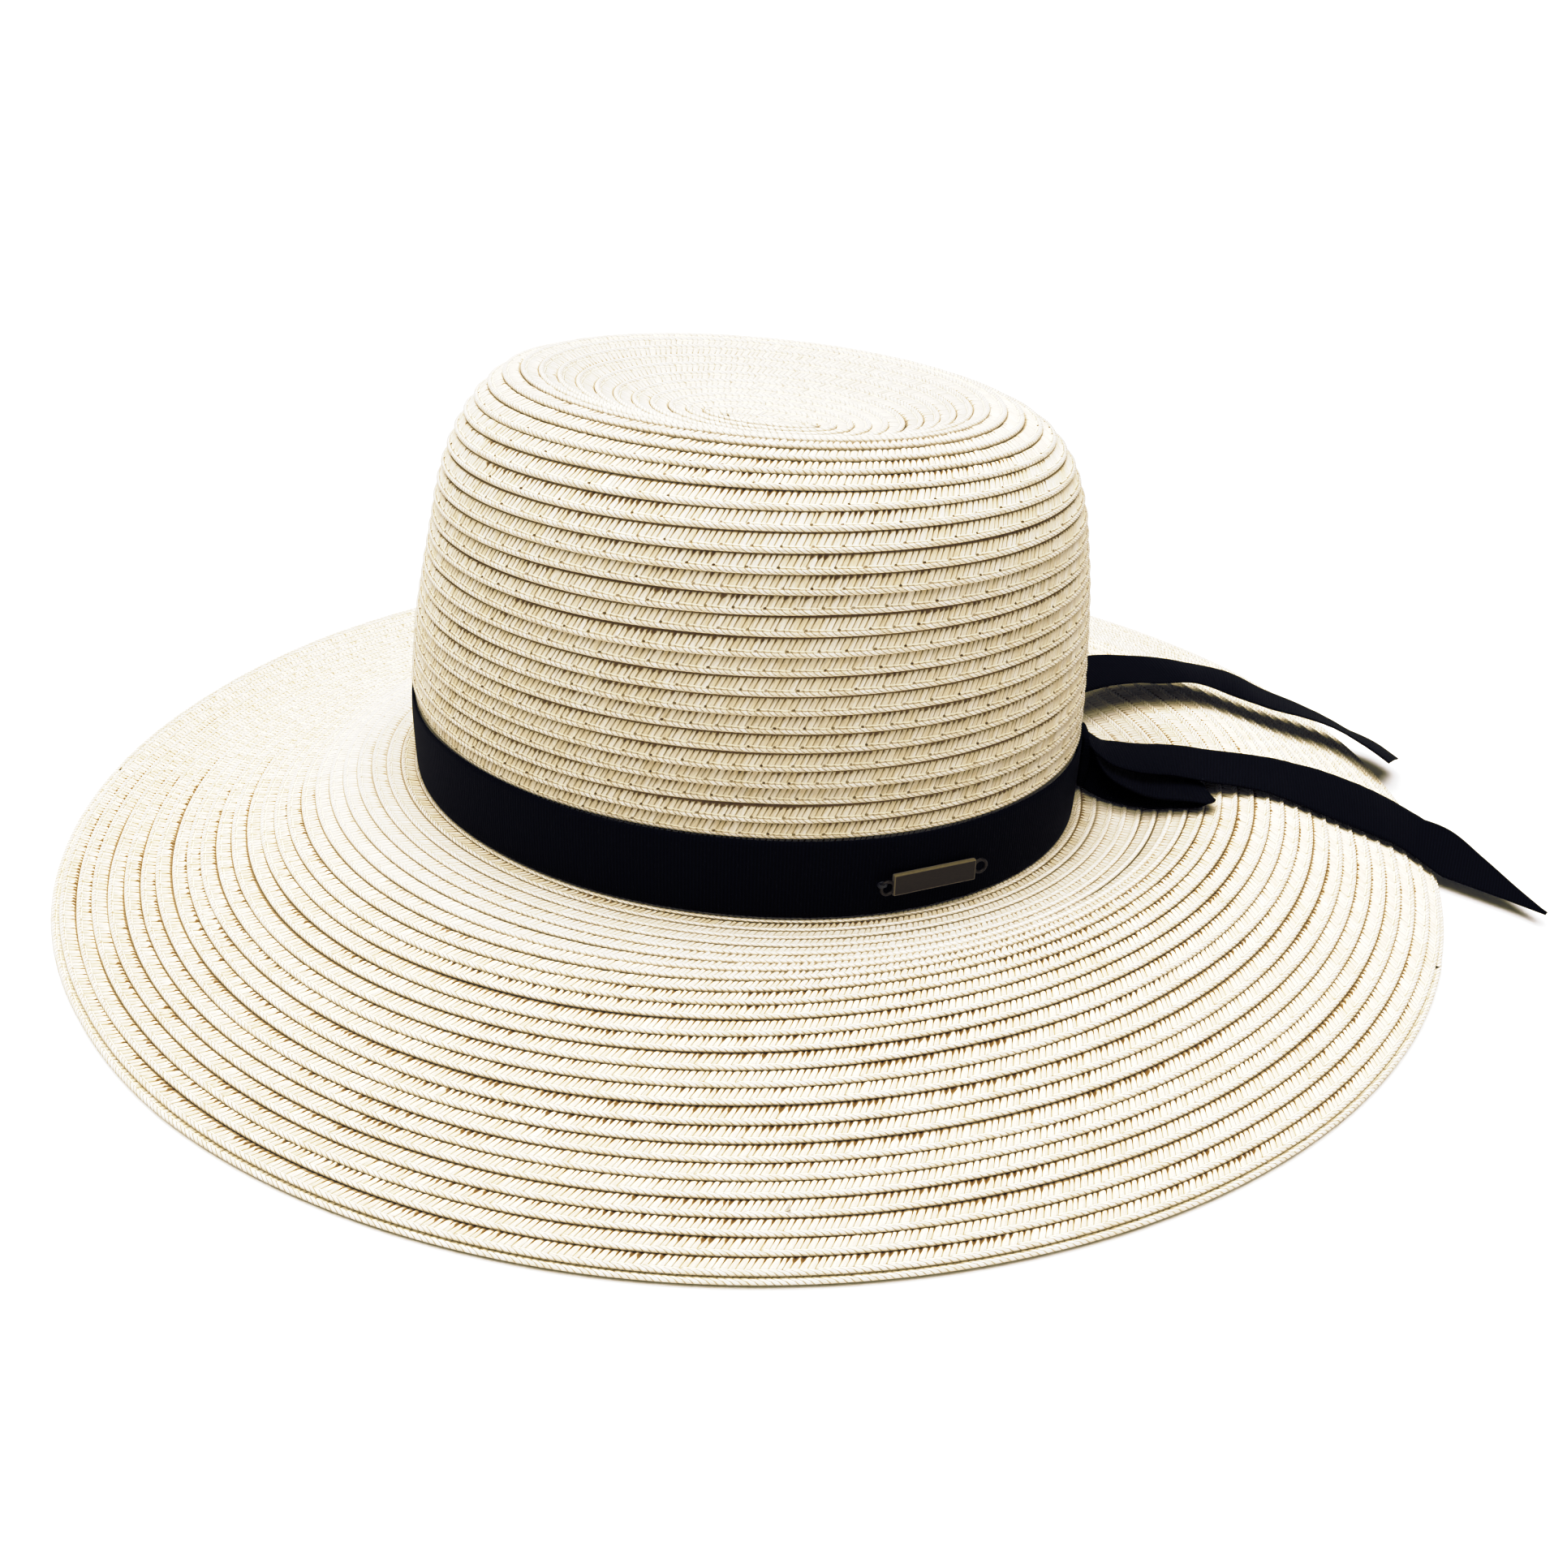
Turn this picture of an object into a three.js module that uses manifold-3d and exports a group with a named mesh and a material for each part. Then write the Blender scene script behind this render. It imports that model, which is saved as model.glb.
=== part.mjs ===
// A wide-brimmed straw sun hat with a ribbon band and a bow, as it rests on a table.
//
// Millimetres, +Z up, the table at z = 0. +X points to the side that carries the bow. The origin
// is on the table under the middle of the whole hat, bow tails included.
//
// The straw is one long flat braid, sewn round and round in overlapping rows, so crown and brim
// are thin walls. Each is a loft through oval sections. A section stands across the wall at a
// distance `arc` along it, and its oval may be moved and tipped, which gives the hat its slightly
// leaning crown, its dished top and the soft bell of its brim.

import * as THREE from 'three';
import { mergeVertices } from 'three/addons/utils/BufferGeometryUtils.js';
import Module from 'manifold-3d';

const wasm = await Module();
wasm.setup();

// ---------------------------------------------------------------- driving dimensions

const STRAW_WALL = 2.0; // two overlapping layers of braid
const GAP = 0.3; // clearance between touching pieces
const HEAD_TURN = THREE.MathUtils.degToRad(-22); // from +X to the long way of the head
const HAT_AXIS_X = -10.8; // the hat's own axis, left of the origin because the tails reach out to +X

const ROUND_STEPS = 80; // faces round the hat
const CROWN_OUTER_STEPS = 21; // rings of faces up the outside of the crown and over its top
const CROWN_INNER_STEPS = 12;
const BRIM_TOP_STEPS = 12;
const BRIM_UNDER_STEPS = 7;

const EDGE_BAND_WIDTH = 5.0; // the last row of braid, doubled and flat on the table

const RIBBON_WIDTH = 21.7;
const BAND_THICK = 1.0;
const BAND_LIFT = 0.4; // from the foot of the crown to the lower edge of the ribbon
const BOW_THICK = 1.0;

const PLATE = { length: 23.5, width: 5.8, thick: 1.0, bevel: 0.35 };
const PLATE_RING = { radius: 1.75, wire: 0.45, offset: 0.5 }; // an eye at each end, for the sewing thread
const PLATE_TURN = THREE.MathUtils.degToRad(-35.9); // where on the oval band the plate sits
const PLATE_HEIGHT = 9.5; // from the foot of the crown to the middle of the plate
const PLATE_TIP = THREE.MathUtils.degToRad(-3); // the left end sits a little high

// Sections of the crown, outside of the wall. long and wide are half axes of the oval, high is
// its height, x and y move its centre, tipX and tipY are its slopes along X and Y.
const CROWN_SECTIONS = [
  { arc: 0, long: 98.7, wide: 86.7, high: 18.3, x: 0.5, y: -1, tipX: -0.042, tipY: -0.026 },
  { arc: 22, long: 98.9, wide: 86.8, high: 40, x: 1.2, y: 0.5, tipX: -0.041, tipY: -0.026 },
  { arc: 45, long: 96.6, wide: 87.0, high: 62.5, x: 3.2, y: 0.5, tipX: -0.036, tipY: -0.029 },
  { arc: 70, long: 92.2, wide: 84.0, high: 87, x: 5.8, y: -1.6, tipX: -0.03, tipY: -0.039 },
  { arc: 95, long: 86.5, wide: 77.0, high: 111, x: 7.2, y: -3.8, tipX: -0.028, tipY: -0.053 },
  { arc: 110, long: 79.2, wide: 68.2, high: 123.5, x: 7.2, y: -3.7, tipX: -0.038, tipY: -0.059 },
  { arc: 122, long: 69.5, wide: 58.3, high: 130, x: 6.6, y: -2.6, tipX: -0.058, tipY: -0.044 },
  { arc: 130, long: 61.6, wide: 50.4, high: 131, x: 6.6, y: -2.8, tipX: -0.06, tipY: -0.04 },
  { arc: 142, long: 50.0, wide: 38.8, high: 128, x: 7.5, y: -4, tipX: -0.055, tipY: -0.035 },
  { arc: 156, long: 36.5, wide: 25.3, high: 124.5, x: 8.5, y: -5, tipX: -0.04, tipY: -0.025 },
  { arc: 180.5, long: 12.0, wide: 0.8, high: 122, x: 9, y: -6, tipX: 0, tipY: 0 },
];

// Sections of the brim, top of the wall, from under the foot of the crown out to the edge.
const BRIM_SECTIONS = [
  { arc: -3.3, long: 96.7, wide: 84.7, high: 17.9, x: 0.5, y: -1, tipX: -0.042, tipY: -0.026 },
  { arc: 0, long: 100, wide: 88, high: 18, x: 0.6, y: -1.1, tipX: -0.041, tipY: -0.027 },
  { arc: 17.5, long: 117, wide: 105.1, high: 18.5, x: 0.7, y: -1.2, tipX: -0.02, tipY: -0.039 },
  { arc: 35, long: 133.4, wide: 122.3, high: 18.2, x: 0.9, y: -1.1, tipX: 0.03, tipY: -0.046 },
  { arc: 52.5, long: 150.5, wide: 139.3, high: 15.7, x: 1.4, y: -0.7, tipX: 0.046, tipY: -0.026 },
  { arc: 78.5, long: 175.5, wide: 163.9, high: 8, x: 0.8, y: -0.4, tipX: 0.027, tipY: -0.012 },
  { arc: 107.5, long: 203, wide: 191.5, high: 2, x: 0, y: 0, tipX: 0, tipY: 0 },
];

// The bow. Each row is a place along a ribbon, given by its two edges: where they are, and how
// far they stand off the top of the brim under them.
const TAIL_NEAR_PLACES = [
  { farX: 103.6, farY: 0.6, farLift: 13.2, nearX: 104.4, nearY: -12, nearLift: 12.9 },
  { farX: 107.6, farY: 3.4, farLift: 9.2, nearX: 108.8, nearY: -16, nearLift: 10.6 },
  { farX: 113.5, farY: 4.6, farLift: 7.2, nearX: 114.8, nearY: -18.5, nearLift: 8.9 },
  { farX: 123, farY: 1, farLift: 5.6, nearX: 122.4, nearY: -22, nearLift: 7.2 },
  { farX: 136, farY: -4.2, farLift: 3, nearX: 132.2, nearY: -26.8, nearLift: 4.4 },
  { farX: 148, farY: -5, farLift: 2, nearX: 143.6, nearY: -27.2, nearLift: 2.6 },
  { farX: 160, farY: -4.4, farLift: 3.4, nearX: 157, nearY: -26.2, nearLift: 1.6 },
  { farX: 171, farY: -3.4, farLift: 5.2, nearX: 168.5, nearY: -25.4, nearLift: 1.6 },
  { farX: 184, farY: -3.2, farLift: 5.4, nearX: 180, nearY: -25, nearLift: 1.6 },
  { farX: 195.5, farY: -4.2, farLift: 4.4, nearX: 190, nearY: -26.2, nearLift: 1.6 },
  { farX: 206.5, farY: -12.5, farLift: 4.6, nearX: 199, nearY: -33, nearLift: 1.6 },
  { farX: 213, farY: -26, farLift: 3.2, nearX: 208, nearY: -39.5, nearLift: 1.4 },
  { farX: 218, farY: -38.5, farLift: 2, nearX: 215.5, nearY: -45, nearLift: 1.2 },
  { farX: 222.6, farY: -49.8, farLift: 1.2, nearX: 222, nearY: -50.6, nearLift: 1.2 },
];
const TAIL_FAR_PLACES = [
  { farX: 99.6, farY: 9.8, farLift: 17, nearX: 101.4, nearY: 8.8, nearLift: 6 },
  { farX: 97.4, farY: 20.5, farLift: 21, nearX: 100.2, nearY: 18.2, nearLift: 3.4 },
  { farX: 94.6, farY: 31.5, farLift: 21, nearX: 99.4, nearY: 26.8, nearLift: 5 },
  { farX: 94, farY: 43, farLift: 17, nearX: 103, nearY: 33.4, nearLift: 9 },
  { farX: 100.5, farY: 51.5, farLift: 12.8, nearX: 110.5, nearY: 35.6, nearLift: 9.8 },
  { farX: 111, farY: 55, farLift: 9.8, nearX: 120, nearY: 35, nearLift: 9 },
  { farX: 123, farY: 54.6, farLift: 8, nearX: 128.5, nearY: 33.6, nearLift: 8 },
  { farX: 138, farY: 53, farLift: 7.2, nearX: 138.5, nearY: 32.8, nearLift: 8 },
  { farX: 153, farY: 51.5, farLift: 9, nearX: 150, nearY: 31, nearLift: 6.6 },
  { farX: 165, farY: 52, farLift: 7.6, nearX: 161, nearY: 31.5, nearLift: 7 },
  { farX: 177, farY: 53, farLift: 6.4, nearX: 172.6, nearY: 33.5, nearLift: 8 },
  { farX: 189, farY: 50.5, farLift: 5.2, nearX: 183.5, nearY: 34, nearLift: 8 },
  { farX: 199, farY: 44, farLift: 3.6, nearX: 191.5, nearY: 27.5, nearLift: 8 },
  { farX: 204.8, farY: 33.6, farLift: 2.8, nearX: 197.2, nearY: 18.8, nearLift: 8.2 },
];
const LOOP_PLACES = [
  { farX: 103.8, farY: -1.8, farLift: 5.8, nearX: 103.6, nearY: -14.2, nearLift: 1.2 },
  { farX: 108, farY: -4.8, farLift: 3.8, nearX: 105.2, nearY: -16.4, nearLift: 1.1 },
  { farX: 113.5, farY: -8.4, farLift: 2.1, nearX: 109, nearY: -20.4, nearLift: 1.1 },
  { farX: 120, farY: -13, farLift: 1.3, nearX: 114.4, nearY: -25, nearLift: 1.1 },
  { farX: 127, farY: -18.5, farLift: 1.1, nearX: 121.4, nearY: -31.2, nearLift: 1.1 },
  { farX: 131, farY: -22.5, farLift: 1.1, nearX: 128.6, nearY: -36.2, nearLift: 1.1 },
  { farX: 132.8, farY: -25, farLift: 2, nearX: 134, nearY: -34.8, nearLift: 2.2 },
  { farX: 130.6, farY: -22.6, farLift: 3.1, nearX: 130.8, nearY: -38.6, nearLift: 3.4 },
  { farX: 125, farY: -16.5, farLift: 3.8, nearX: 122.4, nearY: -34.2, nearLift: 4.8 },
  { farX: 117.5, farY: -10, farLift: 4.5, nearX: 114.8, nearY: -27.4, nearLift: 6.3 },
  { farX: 110.8, farY: -4.7, farLift: 5.9, nearX: 108, nearY: -20.6, nearLift: 8.7 },
  { farX: 105, farY: -0.8, farLift: 7.8, nearX: 105, nearY: -13.6, nearLift: 10.4 },
];

const KNOT = { height: 15.5, depth: 3.2, width: 18, along: 0.5, waist: 0.72 };

// ---------------------------------------------------------------- oval walls

/** A section of a wall at a distance along it: a smooth curve through the rows of the table. */
function sectionAt(sections, arc) {
  const last = sections.length - 2;
  const i = Math.min(Math.max(sections.findIndex((s) => s.arc > arc) - 1, 0), last);
  const low = sections[arc >= sections[last].arc ? last : i];
  const k = sections.indexOf(low);
  const high = sections[k + 1];
  const span = high.arc - low.arc;
  const u = (arc - low.arc) / span;
  const slope = (name, at) => {
    const before = sections[Math.max(at - 1, 0)];
    const after = sections[Math.min(at + 1, sections.length - 1)];
    return (after[name] - before[name]) / (after.arc - before.arc);
  };
  const blend = (name) =>
    (2 * u ** 3 - 3 * u ** 2 + 1) * low[name] +
    (u ** 3 - 2 * u ** 2 + u) * span * slope(name, k) +
    (3 * u ** 2 - 2 * u ** 3) * high[name] +
    (u ** 3 - u ** 2) * span * slope(name, k + 1);
  const names = ['long', 'wide', 'high', 'x', 'y', 'tipX', 'tipY'];
  return Object.fromEntries(names.map((name) => [name, blend(name)]));
}

/** A point on the outside of a wall. turn is the angle round the oval, from the head's long way. */
function wallPoint(sections, arc, turn) {
  const s = sectionAt(sections, arc);
  const spot = new THREE.Vector2(s.long * Math.cos(turn), s.wide * Math.sin(turn));
  spot.rotateAround(new THREE.Vector2(), HEAD_TURN);
  return new THREE.Vector3(HAT_AXIS_X + s.x + spot.x, s.y + spot.y, s.high + s.tipX * spot.x + s.tipY * spot.y);
}

/** The direction out of a wall, away from the head. */
function wallNormal(sections, arc, turn) {
  const small = 0.01;
  const round = wallPoint(sections, arc, turn + small).sub(wallPoint(sections, arc, turn - small));
  const along = wallPoint(sections, arc + small, turn).sub(wallPoint(sections, arc - small, turn));
  const normal = round.cross(along).normalize();
  return sections === BRIM_SECTIONS ? normal.negate() : normal;
}

/** A closed ring of points on a wall, lifted off its outside by `lift`. */
function wallRing(sections, arc, lift) {
  return Array.from({ length: ROUND_STEPS }, (_, k) => {
    const turn = (2 * Math.PI * k) / ROUND_STEPS;
    return wallPoint(sections, arc, turn).addScaledVector(wallNormal(sections, arc, turn), lift);
  });
}

/** Numbers from `start` to `end`, both included. */
const steps = (start, end, count) => Array.from({ length: count + 1 }, (_, k) => start + ((end - start) * k) / count);

// ---------------------------------------------------------------- lofts

/**
 * A closed solid through rings of points, each ring joined to the next. With `loop` the last
 * ring joins the first. Otherwise each end is closed by a fan to its middle.
 */
function loft(rings, loop) {
  const count = rings[0].length;
  const points = rings.flat();
  const faces = [];
  const pairs = loop ? rings.length : rings.length - 1;
  for (let r = 0; r < pairs; r += 1) {
    const a = r * count;
    const b = ((r + 1) % rings.length) * count;
    for (let k = 0; k < count; k += 1) {
      const next = (k + 1) % count;
      faces.push(a + k, a + next, b + next, a + k, b + next, b + k);
    }
  }
  if (!loop) {
    for (const [ring, start, inward] of [[rings[0], 0, true], [rings.at(-1), points.length - count, false]]) {
      const middle = ring.reduce((sum, p) => sum.add(p), new THREE.Vector3()).divideScalar(count);
      const centre = points.push(middle) - 1;
      for (let k = 0; k < count; k += 1) {
        const next = start + ((k + 1) % count);
        faces.push(...(inward ? [centre, next, start + k] : [centre, start + k, next]));
      }
    }
  }
  const geometry = new THREE.BufferGeometry().setFromPoints(points);
  geometry.setIndex(faces);
  geometry.computeVertexNormals();
  return geometry;
}

/** A mesh of one piece, with its name, colour and finish. */
function piece(name, geometry, { color, roughness, metalness = 0 }) {
  const mesh = new THREE.Mesh(geometry, new THREE.MeshStandardMaterial({ color, roughness, metalness }));
  mesh.name = name;
  return mesh;
}

// ---------------------------------------------------------------- straw

const STRAW = { color: 0xece2c9, roughness: 0.75 };
const RIBBON = { color: 0x0d0e12, roughness: 0.8 };
const METAL = { color: 0x4a443c, roughness: 0.45, metalness: 0.9 };

/** The crown: a thin wall up the side, over the shoulder and down into the dished top. */
function crown() {
  const foot = CROWN_SECTIONS[0].arc;
  const middle = CROWN_SECTIONS.at(-1).arc;
  const outer = steps(foot, middle, CROWN_OUTER_STEPS).map((arc) => wallRing(CROWN_SECTIONS, arc, 0));
  const inner = steps(middle, foot, CROWN_INNER_STEPS).map((arc) => wallRing(CROWN_SECTIONS, arc, -STRAW_WALL));
  return loft([...inner, ...outer], false);
}

/** The brim: a thin bell with a flat, doubled band along its edge. */
function brim() {
  const inside = BRIM_SECTIONS[0].arc;
  const edge = BRIM_SECTIONS.at(-1).arc;
  const top = steps(inside, edge, BRIM_TOP_STEPS).map((arc) => wallRing(BRIM_SECTIONS, arc, 0));
  const onTable = (ring) => ring.map((p) => new THREE.Vector3(p.x, p.y, 0));
  const band = [edge, edge - EDGE_BAND_WIDTH].map((arc) => onTable(wallRing(BRIM_SECTIONS, arc, 0)));
  const under = steps(edge - EDGE_BAND_WIDTH - STRAW_WALL, inside, BRIM_UNDER_STEPS);
  return loft([...top, ...band, ...under.map((arc) => wallRing(BRIM_SECTIONS, arc, -STRAW_WALL))].reverse(), true);
}

// ---------------------------------------------------------------- ribbon

/** The band round the foot of the crown, a whole loop of ribbon. */
function hatband() {
  const edges = [BAND_LIFT, BAND_LIFT + RIBBON_WIDTH / 2, BAND_LIFT + RIBBON_WIDTH];
  const outside = edges.map((arc) => wallRing(CROWN_SECTIONS, arc, GAP + BAND_THICK));
  const inside = edges.map((arc) => wallRing(CROWN_SECTIONS, arc, GAP)).reverse();
  return loft([...outside, ...inside], true);
}

/** The height of the top of the brim over a place on the table, or of its edge beyond it. */
function brimHeight(x, y) {
  const inside = (arc) => {
    const s = sectionAt(BRIM_SECTIONS, arc);
    const spot = new THREE.Vector2(x - s.x, y - s.y).rotateAround(new THREE.Vector2(), -HEAD_TURN);
    return (spot.x / s.long) ** 2 + (spot.y / s.wide) ** 2 < 1;
  };
  let low = BRIM_SECTIONS[0].arc;
  let high = BRIM_SECTIONS.at(-1).arc;
  const halvings = 30;
  for (let k = 0; k < halvings; k += 1) {
    const arc = (low + high) / 2;
    if (inside(arc)) high = arc;
    else low = arc;
  }
  const s = sectionAt(BRIM_SECTIONS, low);
  return s.high + s.tipX * (x - s.x) + s.tipY * (y - s.y);
}

/** A strip of ribbon through pairs of edge points, with a given thickness. */
function strip(pairs, finerSteps) {
  const curves = ['far', 'near'].map((side) => new THREE.CatmullRomCurve3(pairs.map((pair) => pair[side])));
  const rings = steps(0, 1, finerSteps).map((u) => {
    const [far, near] = curves.map((curve) => curve.getPoint(u));
    const [farWay, nearWay] = curves.map((curve) => curve.getTangent(u));
    const across = near.clone().sub(far);
    const up = across.cross(farWay.add(nearWay)).normalize().multiplyScalar(BOW_THICK);
    return [far.clone().add(up), near.clone().add(up), near, far];
  });
  return loft(rings, false);
}

/** A bow piece that lies on the brim, from a table of the places of its two edges. */
function layOnBrim(places, finerSteps) {
  const pairs = places.map((p) => ({
    far: new THREE.Vector3(HAT_AXIS_X + p.farX, p.farY, brimHeight(p.farX, p.farY) + p.farLift),
    near: new THREE.Vector3(HAT_AXIS_X + p.nearX, p.nearY, brimHeight(p.nearX, p.nearY) + p.nearLift),
  }));
  return strip(pairs, finerSteps);
}

/** The turn round the oval band at a distance along it from the side that carries the bow. */
function bandTurn(along) {
  const radius = (CROWN_SECTIONS[0].long + CROWN_SECTIONS[0].wide) / 2;
  return -HEAD_TURN + along / radius;
}

/** A point beside the band: `along` it from the knot, `out` from it and `up` from its foot. */
function besideBand(along, out, up) {
  const turn = bandTurn(along);
  const lift = GAP + BAND_THICK + out;
  return wallPoint(CROWN_SECTIONS, up, turn).addScaledVector(wallNormal(CROWN_SECTIONS, up, turn), lift);
}

/** The knot: a wrap of ribbon with rounded corners, a little narrower at its waist. */
function knot(sides, rows) {
  const corner = 0.42; // how square the wrap is, 1 for a round one
  const squared = (value) => Math.sign(value) * Math.abs(value) ** corner;
  const rings = steps(0, 1, rows).map((u) => {
    const up = BAND_LIFT + GAP + KNOT.height * u + 1;
    const bulge = Math.sqrt(Math.sin(Math.PI * (0.12 + 0.76 * u)));
    const waist = 1 - (1 - KNOT.waist) * Math.sin(Math.PI * u);
    return steps(0, 2 * Math.PI, sides).slice(0, sides).map((angle) => {
      const out = GAP + 0.2 + (KNOT.depth / 2) * (1 + squared(Math.cos(angle)) * bulge);
      const along = KNOT.along + (KNOT.width / 2) * waist * squared(Math.sin(angle)) * bulge;
      return besideBand(along, out, up);
    });
  });
  return loft(rings, false);
}

// ---------------------------------------------------------------- metal plate

/** A three.js geometry as a manifold-3d solid. */
function solid(geometry) {
  const bare = geometry.clone();
  for (const name of ['normal', 'uv']) bare.deleteAttribute(name);
  const merged = mergeVertices(bare, 1e-4);
  const index = merged.index ?? merged;
  return new wasm.Manifold(
    new wasm.Mesh({
      numProp: 3,
      vertProperties: new Float32Array(merged.attributes.position.array),
      triVerts: new Uint32Array(index.array),
    }),
  );
}

/** A manifold-3d solid as a three.js geometry. */
function geometryOf(manifold) {
  const mesh = manifold.getMesh();
  const geometry = new THREE.BufferGeometry();
  geometry.setAttribute('position', new THREE.BufferAttribute(mesh.vertProperties, 3));
  geometry.setIndex(new THREE.BufferAttribute(mesh.triVerts, 1));
  geometry.computeVertexNormals();
  return geometry;
}

/** A blank bar with an eye at each end, flat in XY with its face to +Z. */
function plateGeometry() {
  const { length, width, thick, bevel } = PLATE;
  const outline = new THREE.Shape();
  const [x, y] = [length / 2 - bevel, width / 2 - bevel];
  outline.moveTo(-x, -y).lineTo(x, -y).lineTo(x, y).lineTo(-x, y).closePath();
  const bar = new THREE.ExtrudeGeometry(outline, {
    depth: thick - 2 * bevel,
    bevelThickness: bevel,
    bevelSize: bevel,
    bevelSegments: 1,
  });
  bar.translate(0, 0, bevel);
  let whole = solid(bar);
  for (const side of [-1, 1]) {
    const eye = new THREE.TorusGeometry(PLATE_RING.radius, PLATE_RING.wire, 6, 16);
    eye.translate(side * (length / 2 + PLATE_RING.radius - PLATE_RING.wire / 2), side * PLATE_RING.offset, thick / 2);
    whole = whole.add(solid(eye));
  }
  return geometryOf(whole);
}

/** The plate on the front of the band, square to it. */
function tagPlate() {
  const lift = GAP + BAND_THICK + GAP;
  const place = wallPoint(CROWN_SECTIONS, PLATE_HEIGHT, PLATE_TURN);
  const out = wallNormal(CROWN_SECTIONS, PLATE_HEIGHT, PLATE_TURN);
  const sag = PLATE.length ** 2 / 8 / CROWN_SECTIONS[0].wide; // the band curves away behind the ends
  place.addScaledVector(out, lift + sag * 0.1);
  const up = new THREE.Vector3(0, 0, 1);
  const along = up.clone().cross(out).normalize();
  const across = out.clone().cross(along);
  const frame = new THREE.Matrix4().makeBasis(along, across, out).setPosition(place);
  frame.multiply(new THREE.Matrix4().makeRotationZ(PLATE_TIP));
  return plateGeometry().applyMatrix4(frame);
}

// ---------------------------------------------------------------- the hat

const hat = new THREE.Group();
hat.add(
  piece('crown', crown(), STRAW),
  piece('brim', brim(), STRAW),
  piece('hatband', hatband(), RIBBON),
  piece('bow_knot', knot(16, 8), RIBBON),
  piece('bow_loop', layOnBrim(LOOP_PLACES, 30), RIBBON),
  piece('bow_tail_near', layOnBrim(TAIL_NEAR_PLACES, 36), RIBBON),
  piece('bow_tail_far', layOnBrim(TAIL_FAR_PLACES, 36), RIBBON),
  piece('tag_plate', tagPlate(), METAL),
);

export default hat;
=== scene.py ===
"""A wide-brimmed straw sun hat with a ribbon band and a bow.

The straw is one long flat braid of twisted paper straw, sewn round and round in overlapping
rows. Here each wall of the CAD hat is laid with that braid: a closed strip that spirals round
the wall, with every strand of it modelled. The ribbon pieces are cut from one flat ribbon, and
the plate is a small stamped bar, sewn on through a ring at each end.
"""

import math
from collections import namedtuple
from functools import partial

import bmesh
import bpy
import numpy as np
from mathutils import Matrix, Vector


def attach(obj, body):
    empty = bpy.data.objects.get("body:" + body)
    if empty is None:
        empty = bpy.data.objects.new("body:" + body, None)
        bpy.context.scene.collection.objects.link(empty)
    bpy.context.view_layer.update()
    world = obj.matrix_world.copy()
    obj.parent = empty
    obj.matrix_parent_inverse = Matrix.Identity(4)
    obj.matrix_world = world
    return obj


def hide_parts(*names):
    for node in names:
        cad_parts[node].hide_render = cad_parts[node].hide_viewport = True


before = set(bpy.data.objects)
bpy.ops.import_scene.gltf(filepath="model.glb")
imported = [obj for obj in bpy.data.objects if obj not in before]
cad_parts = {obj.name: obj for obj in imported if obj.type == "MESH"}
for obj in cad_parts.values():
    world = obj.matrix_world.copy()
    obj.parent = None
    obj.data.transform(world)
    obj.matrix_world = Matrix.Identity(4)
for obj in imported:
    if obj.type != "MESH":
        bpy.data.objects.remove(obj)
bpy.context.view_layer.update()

bl_info = {
    "name": "Straw Hat",
    "version": (1, 0, 0),
    "blender": (4, 5, 0),
    "location": "3D View > Sidebar > Straw Hat",
    "description": "Builds a straw sun hat with a ribbon bow",
    "category": "Add Mesh",
}

MM = 0.001
BODY = "root"
SEED = 20
TUBE_WELD = 1e-7  # how near two points of a tube's seam lie to be welded, in metres
RING_WELD = 1e-6  # the same for the seam of a ring

# ---------------------------------------------------------------- the hat's walls, in mm

HEAD_TURN = math.radians(-22)  # from +X to the long way of the head
HAT_AXIS_X = -10.8  # the hat's own axis; its bow tails reach out to +X

# A section stands across a wall at a distance arc along it. long and wide are half axes of its
# oval, high is its height, x and y move its centre, tip_x and tip_y are its slopes.
Section = namedtuple("Section", "arc long wide high x y tip_x tip_y")

CROWN_SECTIONS = [
    Section(0, 98.7, 86.7, 18.3, 0.5, -1, -0.042, -0.026),
    Section(22, 98.9, 86.8, 40, 1.2, 0.5, -0.041, -0.026),
    Section(45, 96.6, 87.0, 62.5, 3.2, 0.5, -0.036, -0.029),
    Section(70, 92.2, 84.0, 87, 5.8, -1.6, -0.03, -0.039),
    Section(95, 86.5, 77.0, 111, 7.2, -3.8, -0.028, -0.053),
    Section(110, 79.2, 68.2, 123.5, 7.2, -3.7, -0.038, -0.059),
    Section(122, 69.5, 58.3, 130, 6.6, -2.6, -0.058, -0.044),
    Section(130, 61.6, 50.4, 131, 6.6, -2.8, -0.06, -0.04),
    Section(142, 50.0, 38.8, 128, 7.5, -4, -0.055, -0.035),
    Section(156, 36.5, 25.3, 124.5, 8.5, -5, -0.04, -0.025),
    Section(180.5, 12.0, 0.3, 122, 9, -6, 0, 0),
]
BRIM_SECTIONS = [
    Section(-3.3, 96.7, 84.7, 17.9, 0.5, -1, -0.042, -0.026),
    Section(0, 100, 88, 18, 0.6, -1.1, -0.041, -0.027),
    Section(17.5, 117, 105.1, 18.5, 0.7, -1.2, -0.02, -0.039),
    Section(35, 133.4, 122.3, 18.2, 0.9, -1.1, 0.03, -0.046),
    Section(52.5, 150.5, 139.3, 15.7, 1.4, -0.7, 0.046, -0.026),
    Section(78.5, 175.5, 163.9, 8, 0.8, -0.4, 0.027, -0.012),
    Section(107.5, 203, 191.5, 2, 0, 0, 0, 0),
]

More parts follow.
